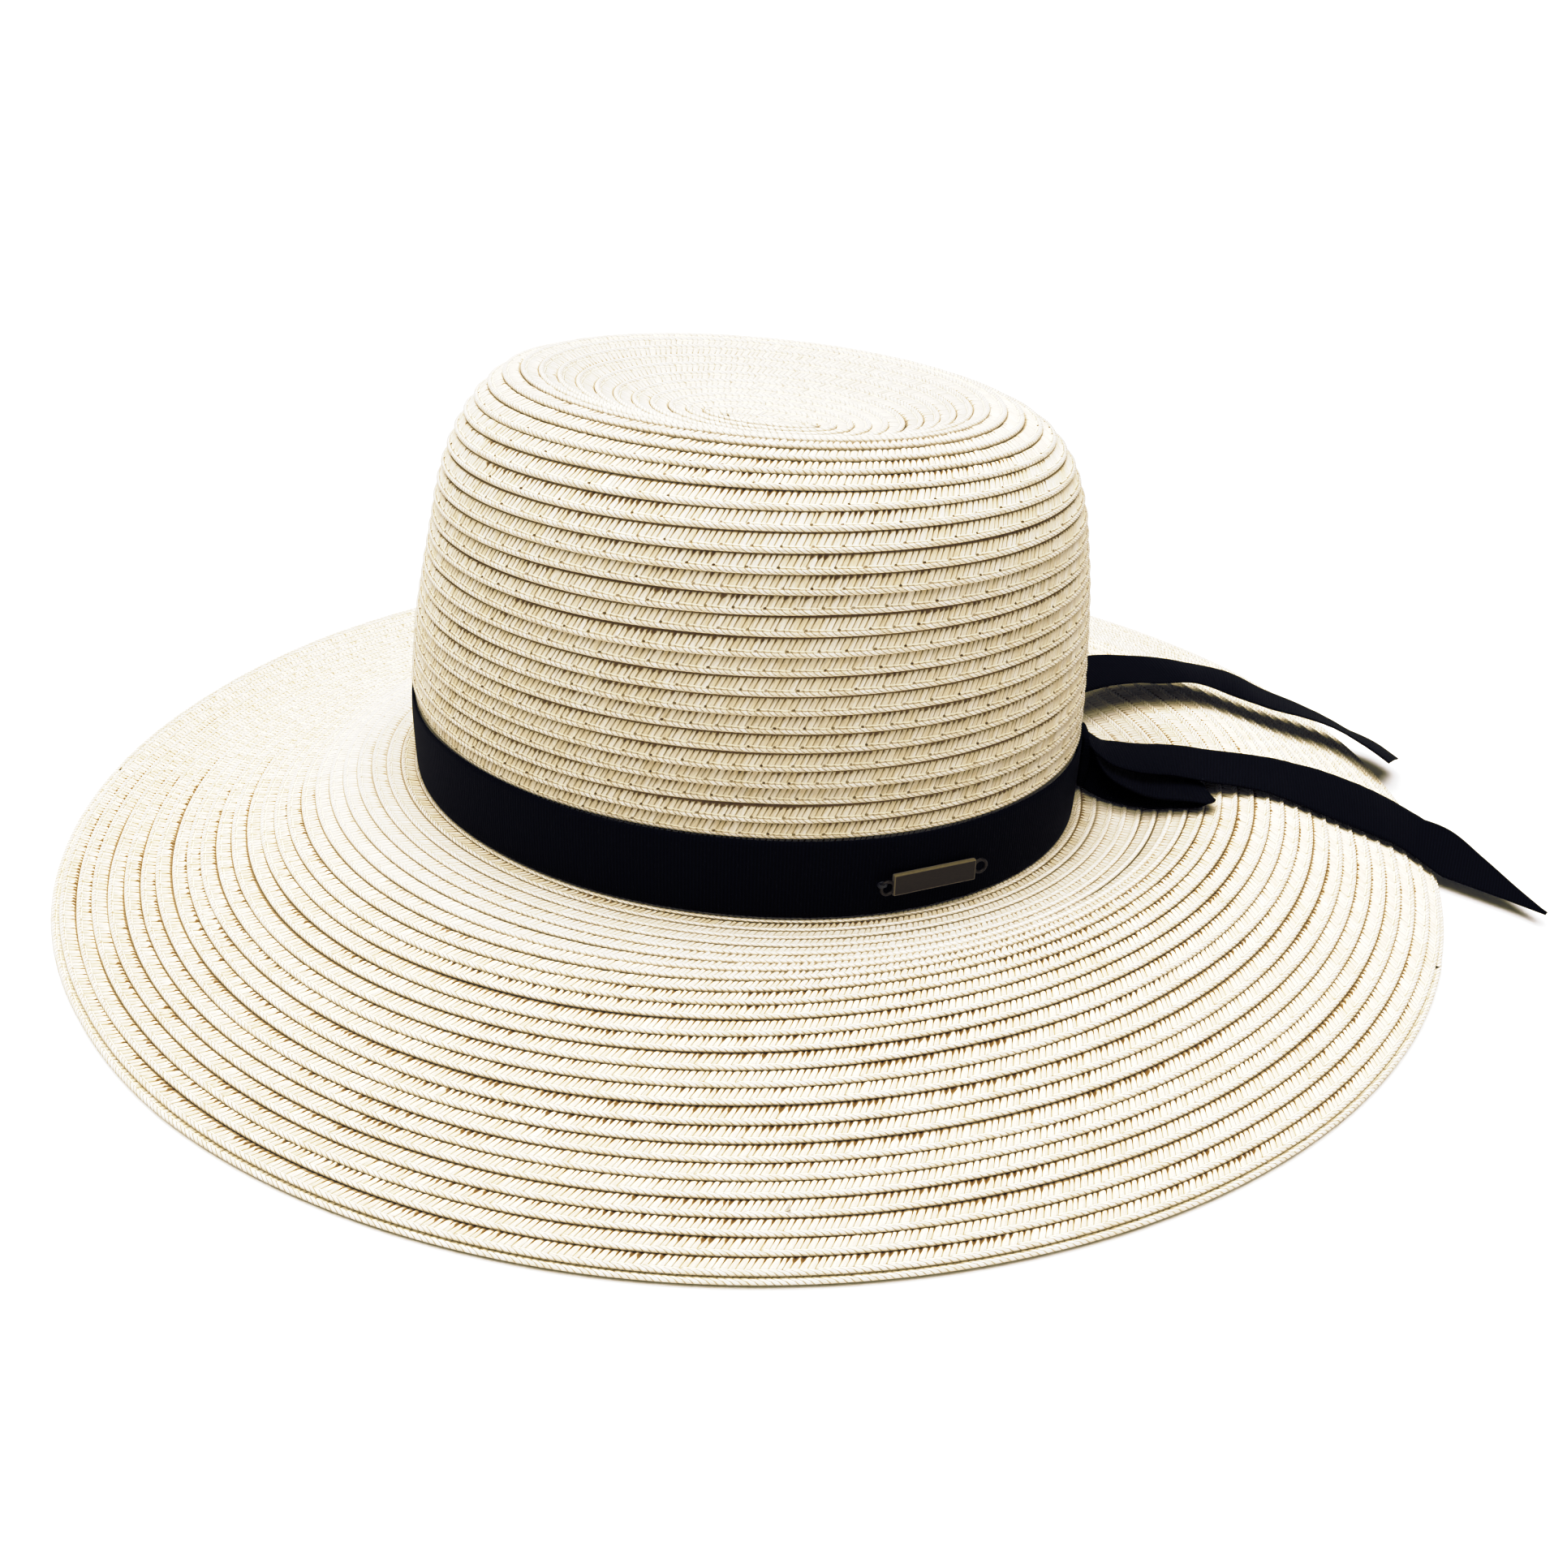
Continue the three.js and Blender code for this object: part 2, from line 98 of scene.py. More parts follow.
# One row of braid, point by point across it: 0 is its edge under the last row, 1 the nose of
# its ridge. crest and gap are the heights of a strand and of the space beside it over the wall,
# slant moves the point along the row. The strands lean one way and the ridge is twisted the other.
Rib = namedtuple("Rib", "across crest gap slant")
BRAID_PROFILE = [
    Rib(-0.22, -0.95, -1.05, 1.55),
    Rib(0.05, -0.16, -0.62, 1.15),
    Rib(0.14, 0.12, -0.44, 1.0),
    Rib(0.66, 0.04, -0.22, -0.2),
    Rib(0.76, 0.50, 0.30, 0.15),
    Rib(0.89, 0.76, 0.58, 1.15),
    Rib(1.00, -0.05, -0.12, 2.0),
    Rib(0.86, -1.20, -1.30, 1.2),
]
RIDGE_FOOT = 0.705  # how far across a row its ridge begins
STRAND_WANDER = 0.16  # how much strands stray along the row, in mm
STRAND_RISE = 0.09  # how much they stray up from it
ROW_WAVER = 0.15  # how much a whole row strays across
ROW_SWELL = 0.05  # how much it strays up
LOOSE_RUN = 24  # lines from one change in how loosely it is plaited to the next
WAVER_RUN = 60  # lines from one turn of its waver to the next
BAND_ZONE = (0.0, 22.5)  # the arc of crown that the ribbon presses flat
BAND_PRESS = 0.85  # how far it presses the ridges in
EDGE_DROP = 0.75  # how far under the brim's last row its second row lies
LONGEST_PIECE = 11600  # lines in one piece of braid, two to a strand
ROUTE_POINTS = 16000  # along a spiral's route
EDGE_ROUTE_POINTS = 2000  # along the second row's route
HOLE_REACH = 0.00042  # from the middle of a needle hole to its end, in metres

# ---------------------------------------------------------------- the ribbon, in mm

BAND_FOOT = 0.4  # the arc of crown where the band starts
CROWN_RADIUS_AT_BOW = 92.7
RIBBON_COLUMNS = 13
RIBBON_CLEARANCE = 0.3  # between the brim and the ribbon on it
RIBBON_ARCH = 0.5  # how far its middle rises
WARP_PITCH = 0.00035  # between two warp threads of its weave, in metres

# A place along a ribbon by its two edges, and how far they stand off the top of the brim.
Place = namedtuple("Place", "far_x far_y far_lift near_x near_y near_lift")
TAIL_NEAR_PLACES = [
    Place(101.4, -1.6, 15.8, 102.5, -10, 14.2),
    Place(104.2, 1.2, 12.4, 104.9, -12.6, 12.5),
    Place(107.6, 3.4, 9.2, 108.8, -16, 10.6),
    Place(113.5, 4.6, 7.2, 114.8, -18.5, 8.9),
    Place(123, 1, 5.6, 122.4, -22, 7.2),
    Place(136, -4.2, 3, 132.2, -26.8, 4.4),
    Place(148, -5, 2, 143.6, -27.2, 2.6),
    Place(160, -4.4, 3.4, 157, -26.2, 1.6),
    Place(171, -3.4, 5.2, 168.5, -25.4, 1.6),
    Place(184, -3.2, 5.4, 180, -25, 1.6),
    Place(195.5, -4.2, 4.4, 190, -26.2, 1.6),
    Place(206.5, -12.5, 4.6, 199, -33, 1.6),
    Place(213, -26, 3.2, 208, -39.5, 1.4),
    Place(218, -38.5, 2, 215.5, -45, 1.2),
    Place(222.6, -49.8, 1.2, 222, -50.6, 1.2),
]
TAIL_FAR_PLACES = [
    Place(99.6, 9.8, 17, 101.4, 8.8, 6),
    Place(97.4, 20.5, 21, 100.2, 18.2, 3.4),
    Place(94.6, 31.5, 21, 99.4, 26.8, 5),
    Place(94, 43, 17, 103, 33.4, 9),
    Place(100.5, 51.5, 12.8, 110.5, 35.6, 9.8),
    Place(111, 55, 9.8, 120, 35, 9),
    Place(123, 54.6, 8, 128.5, 33.6, 8),
    Place(138, 53, 7.2, 138.5, 32.8, 8),
    Place(153, 51.5, 9, 150, 31, 6.6),
    Place(165, 52, 7.6, 161, 31.5, 7),
    Place(177, 53, 6.4, 172.6, 33.5, 8),
    Place(189, 50.5, 5.2, 183.5, 34, 8),
    Place(199, 44, 3.6, 191.5, 27.5, 8),
    Place(204.8, 33.6, 2.8, 197.2, 18.8, 8.2),
]
LOOP_PLACES = [
    Place(101.8, 1.2, 11.4, 101.4, -10.6, 1),
    Place(106.5, -2.4, 7.8, 103.8, -14.6, 1),
    Place(113, -7.6, 3.2, 107.6, -19.2, 1),
    Place(120, -13, 1.2, 113.6, -24.4, 1),
    Place(127, -18.5, 1, 121, -31, 1),
    Place(131, -22.5, 1.1, 128.6, -36.2, 1.1),
    Place(132.8, -25, 2, 134.2, -34.8, 2.2),
    Place(130.6, -22.6, 2.9, 130.8, -38.6, 3.4),
    Place(125, -16.5, 3.6, 122, -34.2, 4.8),
    Place(117.5, -10, 4.4, 114.4, -27.2, 6.4),
    Place(110.5, -4.5, 6.6, 107.4, -20, 8.8),
    Place(105.5, -0.6, 10, 104.6, -12.6, 10.9),
    Place(102.8, 2, 12.6, 103, -6.6, 13),
]

# ---------------------------------------------------------------- the plate

PLATE_ARC, PLATE_TURN = 9.5, math.radians(-35.9)  # its middle's place on the crown
PLATE_TIP = math.radians(-3)
PLATE_LIFT = 1.6  # off the crown, in mm
FLAT_FACE = 0.97  # a face that points out less than this gets the paler edge colour, as on the bevels: a painted highlight
THREAD_RADIUS = 0.00022

# ---------------------------------------------------------------- the finishes

# Scales of their patterns, in cells to the metre
BLOTCHES = 70  # paler and darker stretches of paper, 14 mm long
STITCH_DRIFT = 60  # stitches grow longer and shorter over 17 mm
YARN_FUZZ = 1400  # 0.7 mm, two warp threads
BRUSHING = 900  # 1.1 mm along the brush marks, which are 14 times as fine across
PLIES = 900  # of a wave texture, whose bands are then 0.35 mm apart
MOTTLE = 6  # 170 mm
SOFTLY = {"interpolation_type": "SMOOTHSTEP"}  # for a Map Range node

# ---------------------------------------------------------------- light and camera

KEY_SPREAD = math.radians(64)  # how wide the patch of ceiling is seen
KEY_TURN, KEY_HEIGHT = math.radians(220), math.radians(88)
CAMERA_PLACE = (44.94 + HAT_AXIS_X, -416.19, 242.61)  # in mm
CAMERA_YAW, CAMERA_PITCH, CAMERA_ROLL = (math.radians(v) for v in (4.39, -29.33, -0.32))
WHITE_LEVEL = 1.5  # the light that comes out white

# Tone curves: a light, as a share of the white level, and the tone that it comes out as.
ALL_TONES = [
    (0.13, 0.145),
    (0.27, 0.345),
    (0.4, 0.575),
    (0.53, 0.755),
    (0.67, 0.865),
    (0.83, 0.93),
    (0.93, 0.975),
]
GREEN_TONES = [
    (0.02, 0.0198),
    (0.1, 0.0895),
    (0.25, 0.226),
    (0.5, 0.469),
    (0.7, 0.676),
    (0.88, 0.877),
]
BLUE_TONES = [
    (0.02, 0.0215),
    (0.09, 0.047),
    (0.2, 0.124),
    (0.3, 0.234),
    (0.5, 0.442),
    (0.75, 0.725),
    (0.92, 0.915),
]


# ---------------------------------------------------------------- settings


def hex_colour(value):
    """An sRGB hex colour as the linear numbers that Blender works in."""
    channels = [int(value[i : i + 2], 16) / 255 for i in (1, 3, 5)]
    linear = [c / 12.92 if c <= 0.04045 else ((c + 0.055) / 1.055) ** 2.4 for c in channels]
    return (*linear, 1.0)


def length_setting(name, description, metres):
    """A length on the panel."""
    return bpy.props.FloatProperty(
        name=name, description=description, default=metres, unit="LENGTH", precision=5
    )


def number_setting(name, description, value):
    """A plain number on the panel."""
    return bpy.props.FloatProperty(name=name, description=description, default=value)


def colour_setting(name, description, value):
    """A colour on the panel, from its sRGB hex."""
    colour = hex_colour(value)
    return bpy.props.FloatVectorProperty(
        name=name, description=description, default=colour, size=4, subtype="COLOR", min=0, max=1
    )


class StrawSettings(bpy.types.PropertyGroup):
    """The braid that crown and brim are sewn from."""

    crown_pitch: length_setting("Crown row", "Width of a row that shows on the crown", 0.0048)
    brim_pitch: length_setting("Brim row", "Width of a row that shows on the brim", 0.00436)
    strand_pitch: length_setting("Strand", "Distance between strands along a row", 0.0016)
    stitch_pitch: length_setting("Stitch", "Length of one machine stitch", 0.0069)
    pale: colour_setting("Pale straw", "Colour of the palest strands", "#F6F2EA")
    tan: colour_setting("Tan straw", "Colour of the darkest strands", "#DDD1B8")
    # painted shade: the colour of the fine dark line between two strands
    crease: colour_setting("Crease", "Colour of the fine line between two strands", "#BAB09B")
    # painted shade: the brown down between the strands, in the grooves and under the ridges
    gap: colour_setting("Gap", "Colour down between the strands", "#7F6541")
    thread: colour_setting("Thread", "Colour of the sewing thread", "#FFF8E4")
    # painted shade: the dark colour down in a needle hole
    hole: colour_setting("Needle hole", "Colour down in a needle hole", "#4A300E")


class RibbonSettings(bpy.types.PropertyGroup):
    """The ribbon of the band and the bow."""

    width: length_setting("Width", "Width of the ribbon", 0.0217)
    thickness: length_setting("Thickness", "Thickness of the ribbon", 0.00045)
    rib_pitch: length_setting("Rib", "Distance between the ribs of the weave", 0.0009)
    colour: colour_setting("Colour", "Colour of the ribbon", "#030305")
    # painted highlight: the colour on the tops of the ribs
    rib_highlight: colour_setting("Highlight", "Colour on top of the ribs", "#080A10")


class PlateSettings(bpy.types.PropertyGroup):
    """The small metal plate on the band."""

    length: length_setting("Length", "Length of the bar", 0.0235)
    width: length_setting("Width", "Width of the bar", 0.0058)
    thickness: length_setting("Thickness", "Thickness of the bar", 0.0014)
    bevel: length_setting("Bevel", "Width of the bright bevelled edge", 0.0003)
    ring_radius: length_setting("Ring", "Radius of a ring's centreline", 0.00175)
    ring_wire: length_setting("Ring wire", "Radius of a ring's wire", 0.00045)
    colour: colour_setting("Colour", "Colour of the dark plating", "#3B362E")
    # painted highlight: the paler colour of the plate's bevels and sides
    rubbed_highlit: colour_setting("Rubbed", "Colour of the rubbed edges", "#8F8676")


class StageSettings(bpy.types.PropertyGroup):
    """Floor, light and camera."""

    lens: number_setting("Lens", "Focal length in mm", 36.15)
    floor_size: length_setting("Floor", "Side of the square floor", 16.0)
    floor: colour_setting("Floor colour", "Colour of the floor", "#FCFCFB")
    key: number_setting("Key", "Strength of the soft light overhead", 5.15)
    sky: number_setting("Sky", "Strength of the light all round", 0.2)
    sky_colour: colour_setting("Sky colour", "Colour of the light all round", "#F0F4FF")


# ---------------------------------------------------------------- points on the walls


def section_at(sections, arc):
    """Each column of the table at every arc, on a smooth curve through the rows."""
    table = np.array(sections, float)
    knots, values = table[:, 0], table[:, 1:]
    slopes = np.empty_like(values)
    slopes[1:-1] = (values[2:] - values[:-2]) / (knots[2:] - knots[:-2])[:, None]
    slopes[0] = (values[1] - values[0]) / (knots[1] - knots[0])
    slopes[-1] = (values[-1] - values[-2]) / (knots[-1] - knots[-2])
    low = np.clip(np.searchsorted(knots, arc, side="right") - 1, 0, len(knots) - 2)
    span = (knots[low + 1] - knots[low])[..., None]
    u = (arc - knots[low])[..., None] / span
    from_low = (2 * u**3 - 3 * u**2 + 1) * values[low] + (u**3 - 2 * u**2 + u) * span * slopes[low]
    from_high = (3 * u**2 - 2 * u**3) * values[low + 1] + (u**3 - u**2) * span * slopes[low + 1]
    return np.moveaxis(from_low + from_high, -1, 0)


def wall_point(sections, arc, turn):
    """Points on the outside of a wall, in mm."""
    long, wide, high, x, y, tip_x, tip_y = section_at(sections, arc)
    along, across = long * np.cos(turn), wide * np.sin(turn)
    spot_x = along * math.cos(HEAD_TURN) - across * math.sin(HEAD_TURN)
    spot_y = along * math.sin(HEAD_TURN) + across * math.cos(HEAD_TURN)
    height = high + tip_x * spot_x + tip_y * spot_y
    return np.stack([HAT_AXIS_X + x + spot_x, y + spot_y, height], -1)


def unit(vectors):
    """The vectors, scaled to a length of 1."""
    return vectors / np.maximum(np.linalg.norm(vectors, axis=-1, keepdims=True), 1e-9)


def wall_normal(sections, arc, turn):
    """The direction out of a wall, away from the head."""
    small = 0.02
    around = wall_point(sections, arc, turn + small) - wall_point(sections, arc, turn - small)
    along = wall_point(sections, arc + small, turn) - wall_point(sections, arc - small, turn)
    normal = unit(np.cross(around, along))
    return -normal if sections is BRIM_SECTIONS else normal


def off_wall(sections, arc, turn, lift):
    """Points at a height over a wall, in metres."""
    arc, turn, lift = np.broadcast_arrays(np.asarray(arc, float), turn, lift)
    stand_off = wall_normal(sections, arc, turn) * lift[..., None]
    return (wall_point(sections, arc, turn) + stand_off) * MM


def smooth_step(value):
    """0 up to 0 and 1 from 1 on, with a soft rise between them."""
    value = np.clip(value, 0, 1)
    return value * value * (3 - 2 * value)


def walk_along(points):
    """How far along a run of points each of them is."""
    return np.concatenate([[0], np.cumsum(np.linalg.norm(np.diff(points, axis=0), axis=1))])


# ---------------------------------------------------------------- meshes


def mesh_from(name, bm):
    """A new mesh of a bmesh, which is freed."""
    mesh = bpy.data.meshes.new(name)
    bm.to_mesh(mesh)
    bm.free()
    return mesh


def grid_mesh(name, points, uv, attributes=None, ring=False, tube=False):
    """A mesh laid over a grid of points, shape (rows, columns, 3).

    With ring, the last row is the first one again and is welded to it. With tube, the last
    column is, and the tube's ends are closed."""
    rows, columns = points.shape[:2]
    bm = bmesh.new()
    bmesh.ops.create_grid(bm, x_segments=columns - 1, y_segments=rows - 1, size=1)
    mesh = mesh_from(name, bm)
    mesh.vertices.foreach_set("co", points.reshape(-1).astype(np.float32))
    for key, values in (attributes or {}).items():
        made = mesh.attributes.new(key, "FLOAT", "POINT")
        made.data.foreach_set("value", np.ascontiguousarray(values, np.float32).reshape(-1))
    corners = np.empty(len(mesh.loops), np.int32)
    mesh.loops.foreach_get("vertex_index", corners)
    layer = mesh.uv_layers.new(name="lay")
    layer.data.foreach_set("uv", uv.reshape(-1, 2)[corners].astype(np.float32).reshape(-1))
    bm = bmesh.new()
    bm.from_mesh(mesh)
    if ring:
        bmesh.ops.remove_doubles(bm, verts=bm.verts, dist=RING_WELD)
    if tube:
        bmesh.ops.remove_doubles(bm, verts=bm.verts, dist=TUBE_WELD)
        bmesh.ops.holes_fill(bm, edges=[e for e in bm.edges if e.is_boundary], sides=0)
        bmesh.ops.recalc_face_normals(bm, faces=bm.faces)
    for face in bm.faces:
        face.smooth = True
    bm.to_mesh(mesh)
    bm.free()
    return mesh


def wire_loop(bm, radius, wire, place, around, steps):
    """A closed round loop of wire, flat on the XY plane of place."""
    before = set(bm.verts)
    made = bmesh.ops.create_circle(bm, segments=around, radius=wire)
    stand = Matrix.Translation((radius, 0, 0)) @ Matrix.Rotation(math.pi / 2, 4, "X")
    bmesh.ops.transform(bm, matrix=stand, verts=made["verts"])
    circle = [e for e in bm.edges if e.is_wire]
    bmesh.ops.spin(bm, geom=circle, axis=(0, 0, 1), angle=math.tau, steps=steps, use_merge=True)
    bmesh.ops.transform(bm, matrix=place, verts=[v for v in bm.verts if v not in before])


def add_piece(name, mesh, material, replaced):
    """A mesh as a piece of the hat, in place on the hat's body."""
    piece = bpy.data.objects.new(name, mesh)
    bpy.context.scene.collection.objects.link(piece)
    mesh.materials.append(material)
    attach(piece, BODY)
    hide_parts(*replaced)
    return piece


def thicken(piece, thickness):
    """Give a sheet its thickness, half of it on each side."""
    solid = piece.modifiers.new("thickness", "SOLIDIFY")
    solid.thickness = thickness
    solid.offset = 0


# ---------------------------------------------------------------- materials


def fill_sockets(node, values):
    """Set a node's sockets, or link them where a value is another node's output."""
    for key, value in values.items():
        if isinstance(value, bpy.types.NodeSocket):
            node.id_data.links.new(value, node.inputs[key])
        else:
            node.inputs[key].default_value = value


def add_node(tree, kind, values=(), output=0, **settings):
    """Add a node with its settings and links, and give one of its outputs. The values are for
    its first sockets in order, or for the sockets that a dict names."""
    made = tree.nodes.new(f"ShaderNode{kind}")
    for key, value in settings.items():
        setattr(made, key, value)
    fill_sockets(made, values if isinstance(values, dict) else dict(enumerate(values)))
    return made.outputs[output]


def new_material(name):
    """An empty material, the function that adds to its nodes, and its shader."""
    material = bpy.data.materials.new(name)
    material.use_nodes = True
    tree = material.node_tree
    return material, partial(add_node, tree), tree.nodes["Principled BSDF"]


def shared_material(name, make, settings):
    """The material of this name, made when the first piece asks for it."""
    return bpy.data.materials.get(name) or make(settings)


def straw_painted_shade(add, across, crest, worked_and_shade, painted_shade_amount):
    """Painted shade, 0 to 1: how dark the braid is coloured where it lies deep, between the
    strands, in lines that open towards their heads, in the groove under the last ridge, at the
    ridge's foot and under its nose. It is less where the braid is closely plaited."""
    open_gap = add("Attribute", output="Fac", attribute_name="open_gap")
    head = add("MapRange", (across, 0.10, 0.34, 1.0, 0.0), **SOFTLY)
    gap_width = add("Math", (open_gap, 0.8, 0.16), operation="MULTIPLY_ADD")
    gap_width = add("Math", (head, gap_width, 0.14), operation="MULTIPLY_ADD")
    gap_width = add("Math", (open_gap, 0.15, gap_width), operation="MULTIPLY_ADD")
    from_gap = add("Math", (crest, gap_width), operation="DIVIDE")
    between = add("MapRange", (from_gap, 0.45, 1.0, 1.0, 0.0), **SOFTLY)
    ahead = add("MapRange", (across, 0.16, 0.5, 1.0, 0.25), **SOFTLY)
    between = add("Math", (between, ahead), operation="MULTIPLY")
    between = add("Math", (between, painted_shade_amount), operation="MULTIPLY")

    groove = add("MapRange", (across, 0.04, 0.10, 1.0, 0.0), **SOFTLY)
    nose = add("MapRange", (across, 0.955, 1.0, 0.0, 0.3), **SOFTLY)
    off_foot = add("Math", (across, RIDGE_FOOT), operation="SUBTRACT")
    off_foot = add("Math", (off_foot,), operation="ABSOLUTE")
    foot = add("MapRange", (off_foot, 0.008, 0.03, 0.45, 0.0), **SOFTLY)
    edges = add("Math", (groove, nose), operation="MAXIMUM")
    edges = add("Math", (edges, foot), operation="MAXIMUM")
    edges = add("Math", (edges, worked_and_shade), operation="MULTIPLY")
    return add("Math", (edges, between), operation="MAXIMUM")


def straw_stitches(add, straw, along, across):
    """The sewing thread and its needle holes: one machine stitch after another along the foot
    of the ridge, each a thread that dips into a hole at its end."""
    slow = {"W": along, "Scale": STITCH_DRIFT, "Detail": 1}
    drift = add("TexNoise", slow, "Fac", noise_dimensions="1D")
    stitch = add("Math", (along, straw.stitch_pitch), operation="DIVIDE")
    stitch = add("Math", (drift, 0.5, stitch), operation="MULTIPLY_ADD")
    phase = add("Math", (stitch,), operation="FRACT")

    line = add("Math", (phase, 0.06, 0.63), operation="MULTIPLY_ADD")
    off_line = add("Math", (across, line), operation="SUBTRACT")
    off_line = add("Math", (off_line,), operation="ABSOLUTE")
    thread = add("MapRange", (off_line, 0.025, 0.045, 1.0, 0.0), **SOFTLY)
    dips = add("MapRange", (phase, 0.86, 0.89, 1.0, 0.0), **SOFTLY)
    thread = add("Math", (thread, dips), operation="MULTIPLY")

    hole_along = add("Math", (phase, 0.95), operation="SUBTRACT")
    hole_along = add("Math", (hole_along, straw.stitch_pitch / HOLE_REACH), operation="MULTIPLY")
    hole_across = add("Math", (across, 0.66), operation="SUBTRACT")
    hole_across = add("Math", (hole_across, 0.055), operation="DIVIDE")
    off_hole = add("Math", (hole_along, hole_along), operation="MULTIPLY")
    off_hole = add("Math", (hole_across, hole_across, off_hole), operation="MULTIPLY_ADD")
    # painted shade: each needle hole is coloured dark down in it, and sewn paints the holes fainter
    # on the crown's top and on the brim, where the straw is brightly lit
    hole = add("MapRange", (off_hole, 0.3, 1.3, 1.0, 0.0), **SOFTLY)
    number = add("Math", (stitch,), operation="FLOOR")
    pull = add("TexWhiteNoise", {"W": number}, "Value", noise_dimensions="1D")
    pull = add("Math", (pull, 0.6, 0.4), operation="MULTIPLY_ADD")
    sewn = add("Attribute", output="Fac", attribute_name="sewn")
    pull = add("Math", (sewn, pull), operation="MULTIPLY")
    return thread, add("Math", (hole, pull), operation="MULTIPLY")


def straw_material(straw):
    """Paper straw: strips of glazed paper, twisted into strings, plaited flat and sewn. It is
    matt with a faint glaze and creamy, with painted shade, brown, down in the gaps between the
    strands."""
    material, add, shader = new_material("paper_straw_braid")
    tone, strand, worked_and_shade = (
        add("Attribute", output="Fac", attribute_name=name) for name in ("tone", "strand", "worked_and_shade")
    )
    lay = add("UVMap", uv_map="lay")
    along = add("SeparateXYZ", (lay,), "X")
    across = add("SeparateXYZ", (lay,), "Y")

    # 1 on the crest of a strand, 0 in the middle of the gap beside it
    crest = add("Math", (strand,), operation="FRACT")
    crest = add("Math", (crest, 0.5), operation="SUBTRACT")
    crest = add("Math", (crest,), operation="ABSOLUTE")
    crest = add("Math", (crest, 2.0), operation="MULTIPLY")

    # creases of the twisted paper, about 0.2 mm apart and drawn out along the strand
    creases = add("Math", (strand, 9.0), operation="MULTIPLY")
    drawn_out = add("Math", (across, 3.0), operation="MULTIPLY")
    crease_place = add("CombineXYZ", (creases, drawn_out))
    crease = add("TexNoise", {"Vector": crease_place, "Scale": 1.0, "Detail": 2}, "Fac")

    # from pale to tan by crease, blotch and strand; paler on the ridge, partly its own paler
    # strands and partly painted light where it faces up; and paler where the braid is closely
    # plaited, which is painted light
    blotch = add("TexNoise", {"Vector": lay, "Scale": BLOTCHES, "Detail": 2}, "Fac")
    shade = add("Math", (tone, 0.55), operation="MULTIPLY")
    shade = add("Math", (blotch, 0.4, shade), operation="MULTIPLY_ADD")
    shade = add("Math", (crease, 1.5, shade), operation="MULTIPLY_ADD")
    # paler on the ridge: partly its own paler strands, partly painted light where it faces up
    ridge = add("MapRange", (across, 0.70, 0.76, 0.0, 1.0), **SOFTLY)
    ridge = add("Math", (ridge, 0.3, 0.72), operation="MULTIPLY_ADD")
    shade = add("Math", (shade, ridge), operation="SUBTRACT")
    # painted light: where the braid is closely plaited, on the brim near the crown and on the
    # crown's top, the tan is halved so the straw comes out paler
    painted_light_paling = add("MapRange", (worked_and_shade, 0.4, 0.7, 0.5, 1.0), **SOFTLY)
    shade = add("Math", (shade, painted_light_paling), operation="MULTIPLY")

    # how strong the painted shade between the strands is: less where the braid is closely plaited
    painted_shade_amount = add("MapRange", (worked_and_shade, 0.4, 0.6, 0.5, 1.0), **SOFTLY)
    # painted shade: a fine dark line along the gap between two strands
    seam = add("MapRange", (crest, 0.0, 0.42, 0.75, 0.0), **SOFTLY)
    seam = add("Math", (seam, painted_shade_amount), operation="MULTIPLY")
    # painted shade down between the strands, in the grooves and under the ridges
    depth = straw_painted_shade(add, across, crest, worked_and_shade, painted_shade_amount)
    thread, hole = straw_stitches(add, straw, along, across)
    base = tuple(straw.pale)
    for amount, colour in (
        (shade, straw.tan),
        (seam, straw.crease),
        (depth, straw.gap),
        (thread, straw.thread),
        (hole, straw.hole),
    ):
        base = add("Mix", {0: amount, 6: base, 7: tuple(colour)}, 2, data_type="RGBA")

    # round strands with creases, the thread on top of them and the holes in them
    valley = add("Math", (1.0, crest), operation="SUBTRACT")
    valley = add("Math", (valley, 2.0), operation="POWER")
    height = add("Math", (1.0, valley), operation="SUBTRACT")
    height = add("Math", (height, 0.0), operation="MAXIMUM")
    height = add("Math", (height,), operation="SQRT")
    height = add("Math", (crease, 0.8, height), operation="MULTIPLY_ADD")
    height = add("Math", (thread, 0.6, height), operation="MULTIPLY_ADD")
    height = add("Math", (hole, -0.5, height), operation="MULTIPLY_ADD")
    relief = add("Bump", {"Height": height, "Distance": 0.00025, "Strength": 0.8})
    fill_sockets(shader, {
        "Base Color": base,
        "Normal": relief,
        "Roughness": 0.62,
        "IOR": 1.45,
        "Specular IOR Level": 0.3,
    })
    return material


